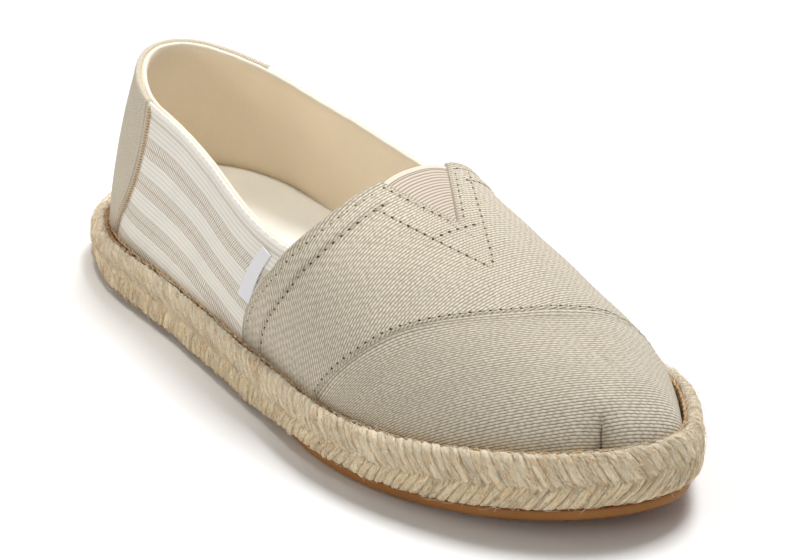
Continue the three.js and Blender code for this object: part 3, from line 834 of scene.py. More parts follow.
def nearest(p, line):
    """Distance from every point of a grid to the nearest point of a line."""
    flat = p.reshape(-1, 3)
    d = np.concatenate([np.min(np.linalg.norm(flat[k:k + 800, None] - line[None], axis=-1), 1) for k in range(0, len(flat), 800)])
    return d.reshape(p.shape[:-1])


_f = np.linspace(-.56, .56, 500)
TOPLINE = last(np.mod(_f, 2) * PI, top_t(_f))
_t = np.linspace(0, .40, 160)
SEAMS = {"quarter_outer": last((HEEL_OUT(_t) + .0035) * PI, _t), "quarter_inner": last((2 - HEEL_IN(_t) - .0035) * PI, _t)}
for name, sign, heel, front in (("quarter_outer", 1, HEEL_OUT, VAMP_OUT_T), ("quarter_inner", -1, HEEL_IN, VAMP_IN_T)):
    p, f2, t = wrap_panel(lambda t: (sign * (heel(t) - .012), sign * (front(t) + .02)), 160, 0.0, 82)
    n = normals(p)
    uv = topline_uv(p)
    uv[..., 1] = nearest(p, TOPLINE)
    seam_dist = nearest(p, SEAMS[name])
    down, alongq = run_length(p, 0), run_length(p, 1)
    total = alongq[:, -1:]
    p = p + n * ripple(p, .15)[..., None] * smooth(2, 14, down)[..., None]
    out = -.12 + .22 * np.exp(-((down - .9) / .9) ** 2) - .14 * np.exp(-((down - 2.6) / .5) ** 2)
    # soft pull folds where the elastic runs into the vamp
    out = out + .25 * np.sin(down * .42 + alongq * .05) * smooth(30, 4, total - alongq) * smooth(3, 12, down)
    shade = .30 * np.exp(-((total - alongq - 5.0) / 2.2) ** 2) + .45 * np.exp(-((down[-1:] - down) / 4.0) ** 2) \
        + .9 * np.exp(-((seam_dist - 1.0) / .45) ** 2)
    shell(name, p, n, out, -1.15, uv, [KNIT, LINING], attrs={"shade": np.clip(shade, 0, 1)}, slot="canvas")

hp, hf, ht = wrap_panel(lambda t: (-HEEL_IN(t), HEEL_OUT(t)), 170, 0.0, 62)
hn = normals(hp)
huv = topline_uv(hp)
hdown, hal = run_length(hp, 0), run_length(hp, 1)
hend = np.minimum(hal, hal[:, -1:] - hal)
hout = .42 + .12 * np.exp(-((hdown - 1.2) / 1.2) ** 2) - .20 * np.exp(-((hend - 2.3) / .5) ** 2) \
    + .18 * np.exp(-((hend - .9) / .8) ** 2)
hshade = .25 * np.exp(-(hend / 1.2) ** 2) + .5 * np.exp(-((hdown[-1:] - hdown) / 4.0) ** 2)
hp = hp + hn * ripple(hp, .14)[..., None] * smooth(2, 12, hdown)[..., None] * smooth(1, 8, hend)[..., None]
m_edge = canvas("canvas_heel_seam", lin(206, 184, 152), lin(146, 114, 78), rib=0.8, bead=0.8, relief=0.00014)
shell("heel_panel", hp, hn, hout, -1.3, np.stack([huv[..., 0], huv[..., 1]], -1), [CANVAS_HEEL, LINING],
      attrs={"shade": np.clip(hshade, 0, 1)}, end_drop=.75, end_width=.9, slot="canvas")

# rolled seams at both sides of the heel panel
for name, fn, sign in (("heel_seam_outer", HEEL_OUT, 1), ("heel_seam_inner", HEEL_IN, -1)):
    tq = np.linspace(.012, float(top_t(sign * fn(np.array(.415)))) - .004, 150)
    q = last(np.mod(sign * (fn(tq) + .0035), 2) * PI, tq)
    q2 = last(np.mod(sign * (fn(tq) + .0135), 2) * PI, tq)
    nn = unit(np.cross(np.gradient(q, axis=0), q2 - q))
    nn = nn * np.sign(np.sum(nn * (q - np.array([60, 0, 30])), -1, keepdims=True))
    wide = unit(q2 - q)
    a = np.linspace(-1, 1, 9)
    s = np.arange(150)[:, None] * (50 / 150)
    width = (.72 + .3 * smooth(.12, .02, tq))[:, None]
    hump = np.sqrt(np.clip(1 - a ** 2, 0, 1))[None] * (.46 + .05 * np.sin(s * 4.1) + .04 * np.sin(s * 9.7 + 1))
    top = q[:, None] + wide[:, None] * (a[None] * width)[..., None] + nn[:, None] * (hump + .02)[..., None]
    low = q[:, None] + wide[:, None] * (a[None] * width)[..., None] - nn[:, None] * .5
    ring = np.concatenate([top, low[:, ::-1]], 1)
    v = ring.reshape(-1, 3)
    f = sheet_faces(150, 18, wrap_j=True, flip=sign < 0)
    cap = np.stack([np.arange(18)[::-1], np.arange(18) + 149 * 18])[:, ::sign]
    uv = np.stack(np.broadcast_arrays(s, np.concatenate([a * 1.2, a[::-1] * 1.2])[None]), -1).reshape(-1, 2)
    make(name, v, [f, cap], [m_edge], None, {"weave": uv}, {"shade": np.zeros(len(v))}, slot="canvas")

# ---- lining and its bright edge round the collar
cp, cf, ct = wrap_panel(lambda t: (-(VAMP_IN_T(t) + .045), VAMP_OUT_T(t) + .045), 230, 0.0, 46)
cn = normals(cp)
cd = run_length(cp, 0)
heelness = smooth(.36, .20, np.abs(cf))
c_in = -2.15 - 1.0 * heelness * np.exp(-((cd - 5) / 9) ** 2) - .25 * np.exp(-((cd - 1.2) / 1.4) ** 2)
shell("collar_lining", cp, cn, -1.2, c_in, topline_uv(cp), [LINING, LINING], slot="canvas")
ef = np.linspace(-.530, .532, 560)
et = top_t(ef)
ep = last(np.mod(ef, 2) * PI, et)
en = normals(np.stack([ep, last(np.mod(ef, 2) * PI, et - .02)]))[0]
hl = smooth(.36, .20, np.abs(ef))
es = np.concatenate([[0], np.cumsum(np.linalg.norm(np.diff(ep, axis=0), axis=-1))])
bead = .62 + .10 * hl + .03 * np.sin(es * 2.9) * (1 - hl)
path = ep + en * (-1.72 - .55 * hl)[:, None] + np.array([0, 0, 1.0]) * (.25 + .15 * hl + .04 * np.sin(es * .7))[:, None]
v, f, _ = tubes(path[None], bead[None], 12)
make("collar_edge", v, f, [BINDING], slot="canvas")

# ---- elastic gore under the notch
def invert(x, y, q=.56, r=.02):
    """Surface coordinates (q, r) of plan points near the throat."""
    x, y = np.asarray(x, float), np.asarray(y, float)
    gq, gr = np.meshgrid(np.linspace(.49, .70, 90), np.linspace(-.45, .5, 120))
    g = across(gq, gr)[..., :2].reshape(-1, 2)
    at = np.array([np.argmin((g[:, 0] - a) ** 2 + (g[:, 1] - b) ** 2) for a, b in zip(x.ravel(), y.ravel())])
    q, r = gq.ravel()[at].reshape(x.shape), gr.ravel()[at].reshape(x.shape)
    for _ in range(6):
        p = across(q, r)[..., :2]
        pq, pr = (across(q + 1e-4, r)[..., :2] - p) / 1e-4, (across(q, r + 1e-4)[..., :2] - p) / 1e-4
        ex, ey = x - p[..., 0], y - p[..., 1]
        det = pq[..., 0] * pr[..., 1] - pq[..., 1] * pr[..., 0]
        det = np.where(np.abs(det) < 1e-6, 1e-6, det)
        q = q + np.clip((ex * pr[..., 1] - ey * pr[..., 0]) / det, -.01, .01)
        r = r + np.clip((pq[..., 0] * ey - pq[..., 1] * ex) / det, -.03, .03)
    return q, r


NO, NI, NT = np.array(NOTCH_OUT), np.array(NOTCH_IN), np.array(NOTCH_TIP)
ga, gb = np.meshgrid(np.linspace(0, 1, 60), np.linspace(-.14, 1.14, 44), indexing="ij")
grow = .5 * (NO + NI)
gx0 = NO[0] * (1 - gb) + NI[0] * gb + 1.35 * (1 - (2 * gb - 1) ** 2) * -1
gy0 = NO[1] * (1 - gb) + NI[1] * gb
tipx, tipy = NT[0] + 2.5, NT[1] + (gb - .5) * 3.0
gx, gy = gx0 * (1 - ga) + tipx * ga, gy0 * (1 - ga) + tipy * ga
gq, gr = invert(gx, gy)
gp = across(gq, gr)
gn = normals(gp)
gn = gn * np.sign(gn[..., 2].mean())
gd = run_length(gp, 0)
gs = run_length(gp, 1)
g_rib = -.72 + .2 * np.abs(np.sin(PI * gd / 1.12)) ** .8 * (gd > 1.5) + .12 * np.exp(-((gd - .7) / .6) ** 2)
shell("elastic_gore_cloth", gp, gn, g_rib, -1.5, np.stack([gd, gs - gs[:, 22:23]], -1), [GORE, GORE], steps=6,
      slot="elastic", replaces=("elastic_gore",))

# ---- footbed
BU, BED_LOW, BED_TOP = 160, 11.4, 21.4
bth = 2 * PI * np.arange(BU) / BU
_mx = 40 + 175 * (1 - np.cos(bth)) / 2
bed_mid = np.stack([_mx, cub(OUT_X, OUT_C, _mx)], -1)


def against_wall(level, clear):
    """Ring in plan where the upper's wall is at this level, pulled in by its thickness."""
    lo, hi = np.zeros(BU), np.full(BU, .6)
    for _ in range(30):
        m_ = (lo + hi) / 2
        p = last(bth, m_)
        above = p[:, 2] - spring(p[:, 0]) > level
        hi, lo = np.where(above, m_, hi), np.where(above, lo, m_)
    p = last(bth, (lo + hi) / 2)[:, :2]
    return p + unit(bed_mid - p) * clear


low_ring, top_ring = against_wall(BED_LOW + .1, 2.6), against_wall(BED_TOP - .5, 2.25)


def bed_ring(k, z, ring):
    q = ring * (1 - k) + bed_mid * k
    return np.concatenate([q, (z + spring(q[:, 0]))[:, None]], 1)


rings = [bed_ring(s, BED_LOW, low_ring) for s in np.linspace(1, 0, 12)]           # underside, from the middle out
for a in np.linspace(.1, .92, 6):                                                   # side wall, on the midsole board
    rings.append(bed_ring(0, BED_LOW + a * (BED_TOP - 1.0 - BED_LOW), low_ring * (1 - a) + top_ring * a))
for a in np.linspace(.1, PI * .5, 6):                                              # rolled edge
    rings.append(bed_ring(.022 * (1 - np.cos(a)), BED_TOP - 1.0 + .9 * np.sin(a), top_ring))
for s in np.linspace(.022, 1, 42)[1:]:                                             # the cushioned top, cupped at the heel
    r = bed_ring(s, BED_TOP - .1, top_ring)
    r[:, 2] += .5 * (1 - (1 - min(1, s / .12)) ** 2) - 1.5 * smooth(.15, .95, s) * smooth(95, 40, r[:, 0]) \
        - .6 * smooth(.3, 1, s) * smooth(120, 180, r[:, 0]) + .08 * np.sin(r[:, 0] * .33 + r[:, 1] * .2)
    rings.append(r)
bv = np.array(rings)
bed = make("footbed_pad", bv.reshape(-1, 3),
           [sheet_faces(len(rings), BU, wrap_j=True, flip=False)], [PADCLOTH], slot="footbed", replaces=("insole",), weld=1e-7)


# ------------------------------------------------------------------ braided jute
TURN = 2 * PI * np.linspace(0, 1, 4001)
_pt = edge(TURN)
_sl = np.concatenate([[0], np.cumsum(np.linalg.norm(np.diff(_pt, axis=0), axis=-1))])
ROUND = _sl[-1]
COUNT = 190
PITCH = ROUND / COUNT


def angle_at(s):
    return np.interp(np.mod(s, ROUND), _sl, TURN)


PROFILE = np.array([(5.05, 12.6), (5.0, 16.2), (4.55, 17.35), (3.6, 17.95), (2.5, 17.85), (1.3, 17.0), (.45, 15.4), (.05, 13.0), (0, 10.5),
                    (.1, 8.2), (.55, 6.2), (1.35, 4.6), (2.6, 3.85)])
PL = np.concatenate([[0], np.cumsum(np.linalg.norm(np.diff(PROFILE, axis=0), axis=1))])
W_MEET = float(np.interp(-10.8, -PROFILE[3:, 1], PL[3:]))
LIFT_X = [0, 30, 46, 62, 110, 141, 163, 180, 194, 209, 225, 255.0]
LIFT_Z = [-3.2, -2.8, -1.6, -1.2, -1.2, -.8, -.2, .4, .8, 1.5, 2.3, 2.3]


def settle(x, z):
    """The rim stands higher round the toe; from the waist back it lies lower and hides the rubber."""
    return z + cub(LIFT_X, LIFT_Z, x) * smooth(9, 16, z) - 2.6 * (1 - smooth(125, 165, x)) * smooth(11, 5, z)


W_END = PL[-1]


def rope(s, w, h):
    """Point on the rope: s along, w across the profile, h above it."""
    inset, z = cub(PL, PROFILE[:, 0], w), cub(PL, PROFILE[:, 1], w)
    di, dz = cub(PL, PROFILE[:, 0], w + .05) - cub(PL, PROFILE[:, 0], w - .05), cub(PL, PROFILE[:, 1], w + .05) - cub(PL, PROFILE[:, 1], w - .05)
    l = np.hypot(di, dz)
    ni_, nz = dz / l, -di / l            # outward: less inset, and up over the rim
    inset, z = inset + ni_ * h, z + nz * h
    x0 = edge(angle_at(s))[..., 0]
    z, inset = settle(x0, z), inset - .9 * (1 - smooth(30, 75, x0))
    xy = outline(angle_at(s), inset)
    return np.concatenate([xy, (z + spring(xy[..., 0]))[..., None]], -1)


def hashn(k, seed=0.0):
    return np.mod(np.sin(np.asarray(k, float) * 12.9898 + seed * 78.233) * 43758.5453, 1.0)


def vnoise(x, y, seed=0.0):
    """Value noise, periodic in nothing, seeded."""
    xi, yi = np.floor(x), np.floor(y)
    fx, fy = x - xi, y - yi
    fx, fy = fx * fx * (3 - 2 * fx), fy * fy * (3 - 2 * fy)
    h = lambda a, b: np.mod(np.sin(a * 127.1 + b * 311.7 + seed * 74.7) * 43758.5453, 1.0)
    return (h(xi, yi) * (1 - fx) + h(xi + 1, yi) * fx) * (1 - fy) + (h(xi, yi + 1) * (1 - fx) + h(xi + 1, yi + 1) * fx) * fy


def hold_back(x):
    """1 at the heel and waist, where the upper strands lie along the sole."""
    return smooth(150, 95, x)


def strand_row(name, upper, ns, nw, mat, **kw):
    s = (np.arange(ns) / ns * ROUND)[:, None]
    g = np.linspace(0, 1, nw)[None, :]
    x_here = outline(angle_at(s[:, 0]), 0.0)[:, 0][:, None]
    hb = hold_back(x_here)
    meet = W_MEET + .40 * np.cos(2 * PI * s / PITCH + 1.2) + .5 * (vnoise(s / 7.0, 0 * s, 3) - .5)
    if upper:
        w = g * (meet + .5)
        run = 8.5 + 6.0 * hb
        dw = w - W_MEET
        slant = run * (dw / 8.5) * (1 + .03 * dw)
        own0 = 0.0
    else:
        w = (meet - .3) * (1 - g) + W_END * g
        dw = w - W_MEET
        slant = -5.2 * (dw / 6.5) + PITCH * .5
        own0 = 40.0
    sh = s - slant
    # uneven strands: the gaps wander a little, each strand has its own width
    sh = sh + .9 * (vnoise(sh / 3.4, w * .14, 5 + own0) - .5) + 1.4 * (vnoise(sh / 11.0, w * .08, 6 + own0) - .5)
    k = np.floor(sh / PITCH)
    f = sh / PITCH - k
    cyc = np.mod(k, COUNT)
    j = .16 * (hashn(cyc, 1 + own0) - .5)
    ff = np.clip(f + j * np.sin(PI * f), 0, 1)
    c = 2 * ff - 1
    body = np.clip(1 - np.abs(c) ** 3.0, 0, 1) ** .5
    height = (.60 if upper else .80) * (1 - .35 * hb) * (.65 + .7 * hashn(cyc, 2 + own0))
    h = height * body
    tuck = np.clip((meet + .5 - w) / 2.2, 0, 1) if upper else np.clip((w - meet + .3) / 1.8, 0, 1)
    end = np.sqrt(np.clip(1 - (1 - tuck) ** 2, 0, 1))
    if upper:
        end = end * (.45 + .55 * smooth(0, 3.0, w))
        h = h * (.35 + .65 * smooth(4.0, 8.5, w))    # the strands run together on the top edge
    else:
        end = end * (.45 + .55 * smooth(W_END, W_END - 1.6, w))
    # some gaps get a deeper painted shade than others
    gap_shade_weight = smooth(.55, .95, hashn(cyc, 6 + own0))
    h = (h + (.30 if upper else .22) * (vnoise(sh / 6.5, w * .12, 8 + own0) - .5)) * end
    across_mm = sh
    fibre = (vnoise(across_mm * 2.3 + 2.0 * vnoise(across_mm * .3, w * .25, 9), w * .22, 21 + own0) - .5) * .34 \
        + (vnoise(across_mm * 1.1, w * .16, 31 + own0) - .5) * .42 + (vnoise(across_mm * 4.6, w * .5, 41) - .5) * .14
    h = h + fibre * (.35 + .65 * end) + .35 * (vnoise(s / 9, w / 4, 17) - .5) - .80
    p = rope(np.broadcast_to(s, w.shape), w, h)
    # the gap value drives painted shade: darker between strands, and on the upper row along the line where it meets the
    # lower row
    gap = 1 - body * end
    gap = gap * ((.40 + .6 * gap_shade_weight) if upper else (.55 + .45 * gap_shade_weight))
    if upper:
        gap = gap * smooth(4.0, 9.0, w) * (1 - .45 * hb) + .2 * smooth(meet - 1.2, meet + .2, w)
    pale = smooth(9.5, 4.5, w) * smooth(0.0, 2.0, w) if upper else 0 * w
    own = np.mod(cyc * .618, 1.0) * 9
    uv = np.stack([across_mm, np.broadcast_to(w * 1.25, w.shape)], -1)
    # the row is closed behind, inside the sole
    ends_ = [nw - 1, 0]
    p = np.concatenate([p, rope(np.broadcast_to(s, (ns, 2)), w[:, ends_], -2.0)], 1)
    uv, gap, own, pale = (np.concatenate([a_, a_[:, ends_]], 1) for a_ in (uv, gap, own, pale))
    v = p.reshape(-1, 3)
    faces = sheet_faces(ns, nw + 2, wrap_i=True, wrap_j=True)
    c1 = np.cross(v[faces[:, 2]] - v[faces[:, 0]], v[faces[:, 3]] - v[faces[:, 1]])
    mid = v[faces].mean(1)
    outward = mid - np.array([127.5, 0, 8.0]); outward[:, 0] = np.where((mid[:, 0] > 45) & (mid[:, 0] < 210), 0, outward[:, 0])
    if np.sum(c1 * outward) < 0:
        faces = faces[:, ::-1]
    return make(name, v, [faces], [mat], None, {"fib": uv.reshape(-1, 2)},
                {"gap": np.clip(gap, 0, 1).ravel(), "own": own.ravel(), "pale": pale.ravel()}, slot="jute_braid", **kw)


strand_row("jute_braid_upper", True, 1800, 46, JUTE_UP, replaces=("jute_sole",))
strand_row("jute_braid_lower", False, 1800, 34, JUTE_LOW)

# core of the sole under the strands: closed, from the floor of the shoe to the underside
cth = 2 * PI * np.arange(240) / 240
core = []
for k in np.linspace(1, 0, 12):
    q = outline(cth, 5.3) * (1 - k) + k * np.stack([(mx := 40 + 175 * (1 - np.cos(cth)) / 2), cub(OUT_X, OUT_C, mx)], -1)
    core.append(np.concatenate([q, (10.9 + spring(q[:, 0]) + 0 * cth)[:, None]], 1))
for ins, z in ((5.2, 15.5), (4.6, 16.2), (3.6, 16.4), (2.4, 15.4), (1.9, 12.5), (1.8, 8.6), (2.3, 5.4), (3.3, 4.1)):
    q = outline(cth, ins)
    core.append(np.concatenate([q, (settle(q[:, 0], z) + spring(q[:, 0]))[:, None]], 1))
for k in np.linspace(0, 1, 12):
    q = outline(cth, 3.3) * (1 - k) + k * np.stack([40 + 175 * (1 - np.cos(cth)) / 2, cub(OUT_X, OUT_C, 40 + 175 * (1 - np.cos(cth)) / 2)], -1)
    core.append(np.concatenate([q, (3.9 + spring(q[:, 0]))[:, None]], 1))
core = np.array(core)
make("jute_core", core.reshape(-1, 3), [sheet_faces(len(core), 240, wrap_j=True, flip=True)], [CORE], slot="jute_braid", weld=1e-7)


# loose fibres over the braid
def fibres(name, count, lift, length, radius, seed, w_range, wild=0.0):
    g = np.random.default_rng(seed)
    s0, w0 = g.uniform(0, ROUND, count), g.uniform(*w_range, count)
    up = w0 < W_MEET
    x0 = outline(angle_at(s0), 0.0)[:, 0]
    hb = hold_back(x0)
    ds = np.where(up, (8.5 + 7 * hb) / 8.5, -5.2 / 6.5)
    dirn = np.stack([ds, np.ones(count)], -1)
    dirn = unit(dirn + g.normal(0, .45 + wild, (count, 2))) * np.where(g.random(count) < .5, -1, 1)[:, None]
    ln = g.uniform(*length, count)
    bend = g.normal(0, .22 + wild * .3, count)
    k = 5
    u = np.linspace(0, 1, k)[None]
    perp = np.stack([-dirn[:, 1], dirn[:, 0]], -1)
    s = s0[:, None] + dirn[:, :1] * ln[:, None] * (u - .5) + perp[:, :1] * (bend * ln)[:, None] * (u - .5) ** 2 * 2
    w = np.clip(w0[:, None] + dirn[:, 1:] * ln[:, None] * (u - .5) + perp[:, 1:] * (bend * ln)[:, None] * (u - .5) ** 2 * 2, .6, W_END - .1)
    hgt = g.uniform(*lift, count)[:, None]
    free = g.random(count)[:, None] < .35
    h = -.25 + hgt * np.where(free, u ** 1.6, np.sin(PI * u))
    p = rope(s, w, h)
    p[..., 2] = np.maximum(p[..., 2], .4)
    rad = radius * g.uniform(.7, 1.3, count)[:, None] * (1 - .55 * u)
    v, f, which = tubes(p, rad, 3)
    tone = g.random(count)[which]
    return make(name, v, f, [FIBRE], None, None, {"own": tone}, slot="jute_braid")


fibres("jute_fibres_fine", 4600, (.05, .60), (1.8, 6.5), .085, 5, (1.6, W_END - .4))
fibres("jute_fibres_loose", 760, (.4, 1.7), (3.0, 9.0), .055, 6, (1.2, W_END - .2), wild=.6)

# the stitched line where canvas and rope meet
js = np.linspace(0, ROUND, 1500, endpoint=False)
jo = outline(angle_at(js), 5.05 + .12 * np.sin(js * 1.9))
jz = 16.75 + cub(LIFT_X, LIFT_Z, jo[:, 0]) + spring(jo[:, 0]) + .16 * np.sin(js * 2 * PI / 3.3) + .12 * vnoise(js / 2.1, 0 * js, 3)
jr = .24 + .24 * vnoise(js / 1.3, 0 * js, 8)
path = np.concatenate([jo, jz[:, None]], 1)
tan = unit(np.roll(path, -1, 0) - np.roll(path, 1, 0))
sd = unit(np.cross(tan, [0, 0, 1.0])); upv = np.cross(sd, tan)
a8 = 2 * PI * np.arange(8) / 8
ring = path[:, None] + jr[:, None, None] * (np.cos(a8)[None, :, None] * sd[:, None] + np.sin(a8)[None, :, None] * upv[:, None])


def twist(name):
    m = Mat(name, rough=0.9, sheen=0.1, spec=0.15)
    x, y = m.uv("fib")
    f = m.noise(m.vec(m.mul(m.add(x, y), 1.6), m.mul(y, .3)), 1.0, 3, .6)
    big = m.noise(m.vec(m.mul(x, .16), 0.0), 1.0, 2)
    col = m.mix(m.step(.35, .65, f), lin(190, 146, 94), lin(232, 200, 152))
    col = m.mix(m.step(.40, .62, big), m.gain(col, .84), col)
    return m.finish(col, m.bump(f, .0003))


TWIST = twist("lasting_thread")
uv = np.stack(np.broadcast_arrays(js[:, None], (a8 * .5)[None]), -1).reshape(-1, 2)
make("lasting_thread", ring.reshape(-1, 3), [sheet_faces(1500, 8, wrap_i=True, wrap_j=True, flip=True)], [TWIST], None, {"fib": uv}, slot="jute_braid")

# ------------------------------------------------------------------ rubber outsole
oth = 2 * PI * np.arange(380) / 380
SET_IN = 1.8 + 1.7 * (1 - smooth(125, 165, edge(oth)[:, 0]))     # further in from the waist back
arch = lambda x: .8 * np.clip(np.minimum(6 * (x - 84) / 38, 6 * (122 - x) / 38), 0, 1)


def sole_ring(inset, z, tread=0.0):
    q = outline(oth, inset + SET_IN)
    return np.concatenate([q, (z + spring(q[:, 0]) + tread)[:, None]], 1)


def sole_inner(k, z, inset, cut):
    mx = 40 + 175 * (1 - np.cos(oth)) / 2
    q = outline(oth, inset + SET_IN) * (1 - k) + k * np.stack([mx, cub(OUT_X, OUT_C, mx)], -1)
    x, y = q[:, 0], q[:, 1]
    up = arch(x)
    if cut:
        # rows of small waves across the tread, a plain band round the edge and at the waist
        wave = np.abs(np.mod((x + 1.6 * np.sin(y * .42)) / 4.2, 1.0) - .5) * 2
        groove = .75 * smooth(.42, .16, wave)
        keep = smooth(.05, .10, k) * (1 - smooth(74, 80, x) * smooth(132, 126, x))
        mid = np.minimum(np.abs(x - 34), np.abs(x - 190))
        up = up + groove * keep * smooth(2.0, 3.2, mid)
    return np.concatenate([q, (z + spring(x) + up)[:, None]], 1)


sole = [sole_inner(k, 0, 3.4, True) for k in np.linspace(1, 0, 70)]
for a in np.linspace(0, PI / 2, 6)[1:]:
    sole.append(sole_ring(3.4 - 2.0 * np.sin(a), 1.7 * (1 - np.cos(a)), 0))
sole += [sole_ring(1.4 + .05 * math.sin(z * 9), z) for z in (2.1, 2.5, 2.9)]
sole += [sole_ring(1.55, 3.25), sole_ring(1.9, 3.45)]
sole += [sole_inner(k, 3.5, 2.4, False) for k in np.linspace(0, 1, 14)]
sole = np.array(sole)
make("outsole_tread", sole.reshape(-1, 3), [sheet_faces(len(sole), 380, wrap_j=True)], [RUBBER], slot="outsole_rubber", replaces=("outsole",), weld=1e-7)


# ------------------------------------------------------------------ stitching
def even(points, pitch):
    """Evenly spaced samples (q, r) along a path given in surface coordinates."""
    pts = np.asarray(points, float)
    d = np.concatenate([[0], np.cumsum(np.linalg.norm(np.diff(pts, axis=0), axis=1))])
    u = np.linspace(0, d[-1], 400)
    q, r = np.interp(u, d, pts[:, 0]), np.interp(u, d, pts[:, 1])
    p = across(q, r)
    s = np.concatenate([[0], np.cumsum(np.linalg.norm(np.diff(p, axis=0), axis=1))])
    n = max(2, int(round(s[-1] / pitch)))
    v = (np.arange(n * 8 + 1) / (n * 8)) * s[-1]
    return np.interp(v, s, q), np.interp(v, s, r), n


def on_vamp(q, r):
    """Point and normal of the vamp's outside at (q, r)."""
    q, r = np.atleast_1d(q), np.atleast_1d(r)
    j = np.clip(np.interp(r, VR, np.arange(len(VR))), 0, len(VR) - 1.001)
    j0 = j.astype(int)
    fj = (j - j0)[:, None]
    pts, nor = [], []
    for col in (j0, j0 + 1):
        i = np.array([np.interp(a, VQ[:, c], np.arange(len(VQ))) for a, c in zip(q, col)])
        i = np.clip(i, 0, len(VQ) - 1.001)
        i0 = i.astype(int)
        fi = (i - i0)[:, None]
        pts.append(VO[i0, col] * (1 - fi) + VO[i0 + 1, col] * fi)
        nor.append(VN[i0, col] * (1 - fi) + VN[i0 + 1, col] * fi)
    return pts[0] * (1 - fj) + pts[1] * fj, unit(nor[0] * (1 - fj) + nor[1] * fj)


ALL_THREAD, ALL_HOLE_SHADES = [], []


def stitch(points, pitch=2.75, radius=.17, hole=(.52, .34)):
    """Thread lying on the surface in short stitches, with a dark disc of painted shade where it goes in."""
    q, r, n = even(points, pitch)
    p, nn = on_vamp(q, r)
    for i in range(n):
        a = i * 8
        seg = slice(a, a + 7)
        u = np.linspace(0, 1, 7)
        h = -.14 + .24 * np.sin(PI * u) ** .55
        ALL_THREAD.append((p[seg] + nn[seg] * h[:, None], radius))
        t = unit(p[min(a + 1, len(p) - 1)] - p[max(a - 1, 0)])
        b = np.cross(nn[a], t)
        size = .82 + .36 * float(hashn(i, len(ALL_HOLE_SHADES) * .01))
        ALL_HOLE_SHADES.append((p[a] + nn[a] * .02, t, b, nn[a], hole[0] * size, hole[1] * size))


def plan(points):
    pts = np.array(points, float)
    u = np.linspace(0, len(pts) - 1, 24)
    x, y = np.interp(u, np.arange(len(pts)), pts[:, 0]), np.interp(u, np.arange(len(pts)), pts[:, 1])
    q, r = invert(x, y)
    return np.stack([q, r], -1)


def in_from_back(r, mm):
    """q at mm in from the vamp's back edge, for each r."""
    r = np.asarray(r, float)
    length = np.interp(r, VR, V_LEN)
    q0, q1 = vamp_back(r), TOE_SEAM(r)
    return q0 + (q1 - q0) * mm / length


ro = np.linspace(-.945, R_OUT - .028, 60)
ri = np.linspace(R_IN + .03, .945, 60)
for rr in (ro, ri):
    w2 = np.interp(np.abs(rr), [0, .2, .45, .76, .9, 1], [6.2, 6.4, 7.0, 8.6, 10.2, 11.0])
    stitch(np.stack([in_from_back(rr, 2.0), rr], -1), hole=(.40, .26))
    stitch(np.stack([in_from_back(rr, w2 + .1), rr], -1), hole=(.56, .36))
# beside the notch
NO, NI, NT = np.array(NOTCH_OUT), np.array(NOTCH_IN), np.array(NOTCH_TIP)
d_out, d_in = unit(NO - NT), unit(NI - NT)
p_out = np.array([d_out[1], -d_out[0]]); p_out = p_out * np.sign(np.dot(p_out, [0, -1]))
p_in = np.array([d_in[1], -d_in[0]]); p_in = p_in * np.sign(np.dot(p_in, [0, 1]))
stitch(plan([NO + p_out * 1.5 - d_out * 1.4, NT + p_out * 1.5 + d_out * .2]), hole=(.60, .40))
stitch(plan([NI + p_in * 1.5 - d_in * 1.4, NT + p_in * 1.4]), hole=(.46, .32))
# the outer V and the bar across its neck
stitch(plan([(151.5, -14.0), (169.0, -7.6), (186.0, -.4)]), hole=(.56, .38))
stitch(plan([(147.4, 19.2), (163.7, 11.3), (181.5, 2.5), (186.0, -.2)]), hole=(.52, .36))
stitch(plan([(169.0, -7.6), (169.3, .0), (169.6, 7.9)]), pitch=2.5, hole=(.62, .42))
# along the toe seam
tr = np.linspace(-.945, .945, 140)
tl = np.interp(tr, VR, V_LEN)
q0, q1 = vamp_back(tr), TOE_SEAM(tr)
stitch(np.stack([q1 - (q1 - q0) * 1.0 / tl, tr], -1), pitch=2.7, hole=(.52, .30))

# thread, and the dark discs of painted shade at the holes, become two joined meshes
v, f, _ = tubes(np.array([a for a, _ in ALL_THREAD]), np.array([b for _, b in ALL_THREAD])[:, None] * np.ones((1, 7)), 7)
make("stitches", v, f, [THREAD], slot="canvas")
na = 10
ang = 2 * PI * np.arange(na) / na
C = np.array([h[0] for h in ALL_HOLE_SHADES]); T_ = np.array([h[1] for h in ALL_HOLE_SHADES]); B_ = np.array([h[2] for h in ALL_HOLE_SHADES])
N_ = np.array([h[3] for h in ALL_HOLE_SHADES]); A_ = np.array([h[4] for h in ALL_HOLE_SHADES]); D_ = np.array([h[5] for h in ALL_HOLE_SHADES])
layers = []
for rad, z in ((1.0, -.30), (1.0, .0), (.86, .055), (.45, .085)):
    layers.append(C[:, None] + T_[:, None] * (A_[:, None] * rad * np.cos(ang))[..., None] + B_[:, None] * (D_[:, None] * rad * np.sin(ang))[..., None]
                  + N_[:, None] * z)
hv = np.stack(layers, 1)                      # hole, layer, around, xyz
nh = len(C)
one = sheet_faces(4, na, wrap_j=True)
ff = (one[None] + (np.arange(nh) * 4 * na)[:, None, None]).reshape(-1, 4)
capf = (np.stack([np.arange(na)[::-1], np.arange(na) + 3 * na])[None] + (np.arange(nh) * 4 * na)[:, None, None]).reshape(-1, na)
make("needle_hole_shades", hv.reshape(-1, 3), [ff, capf], [HOLE_SHADE_CLOTH], slot="canvas")


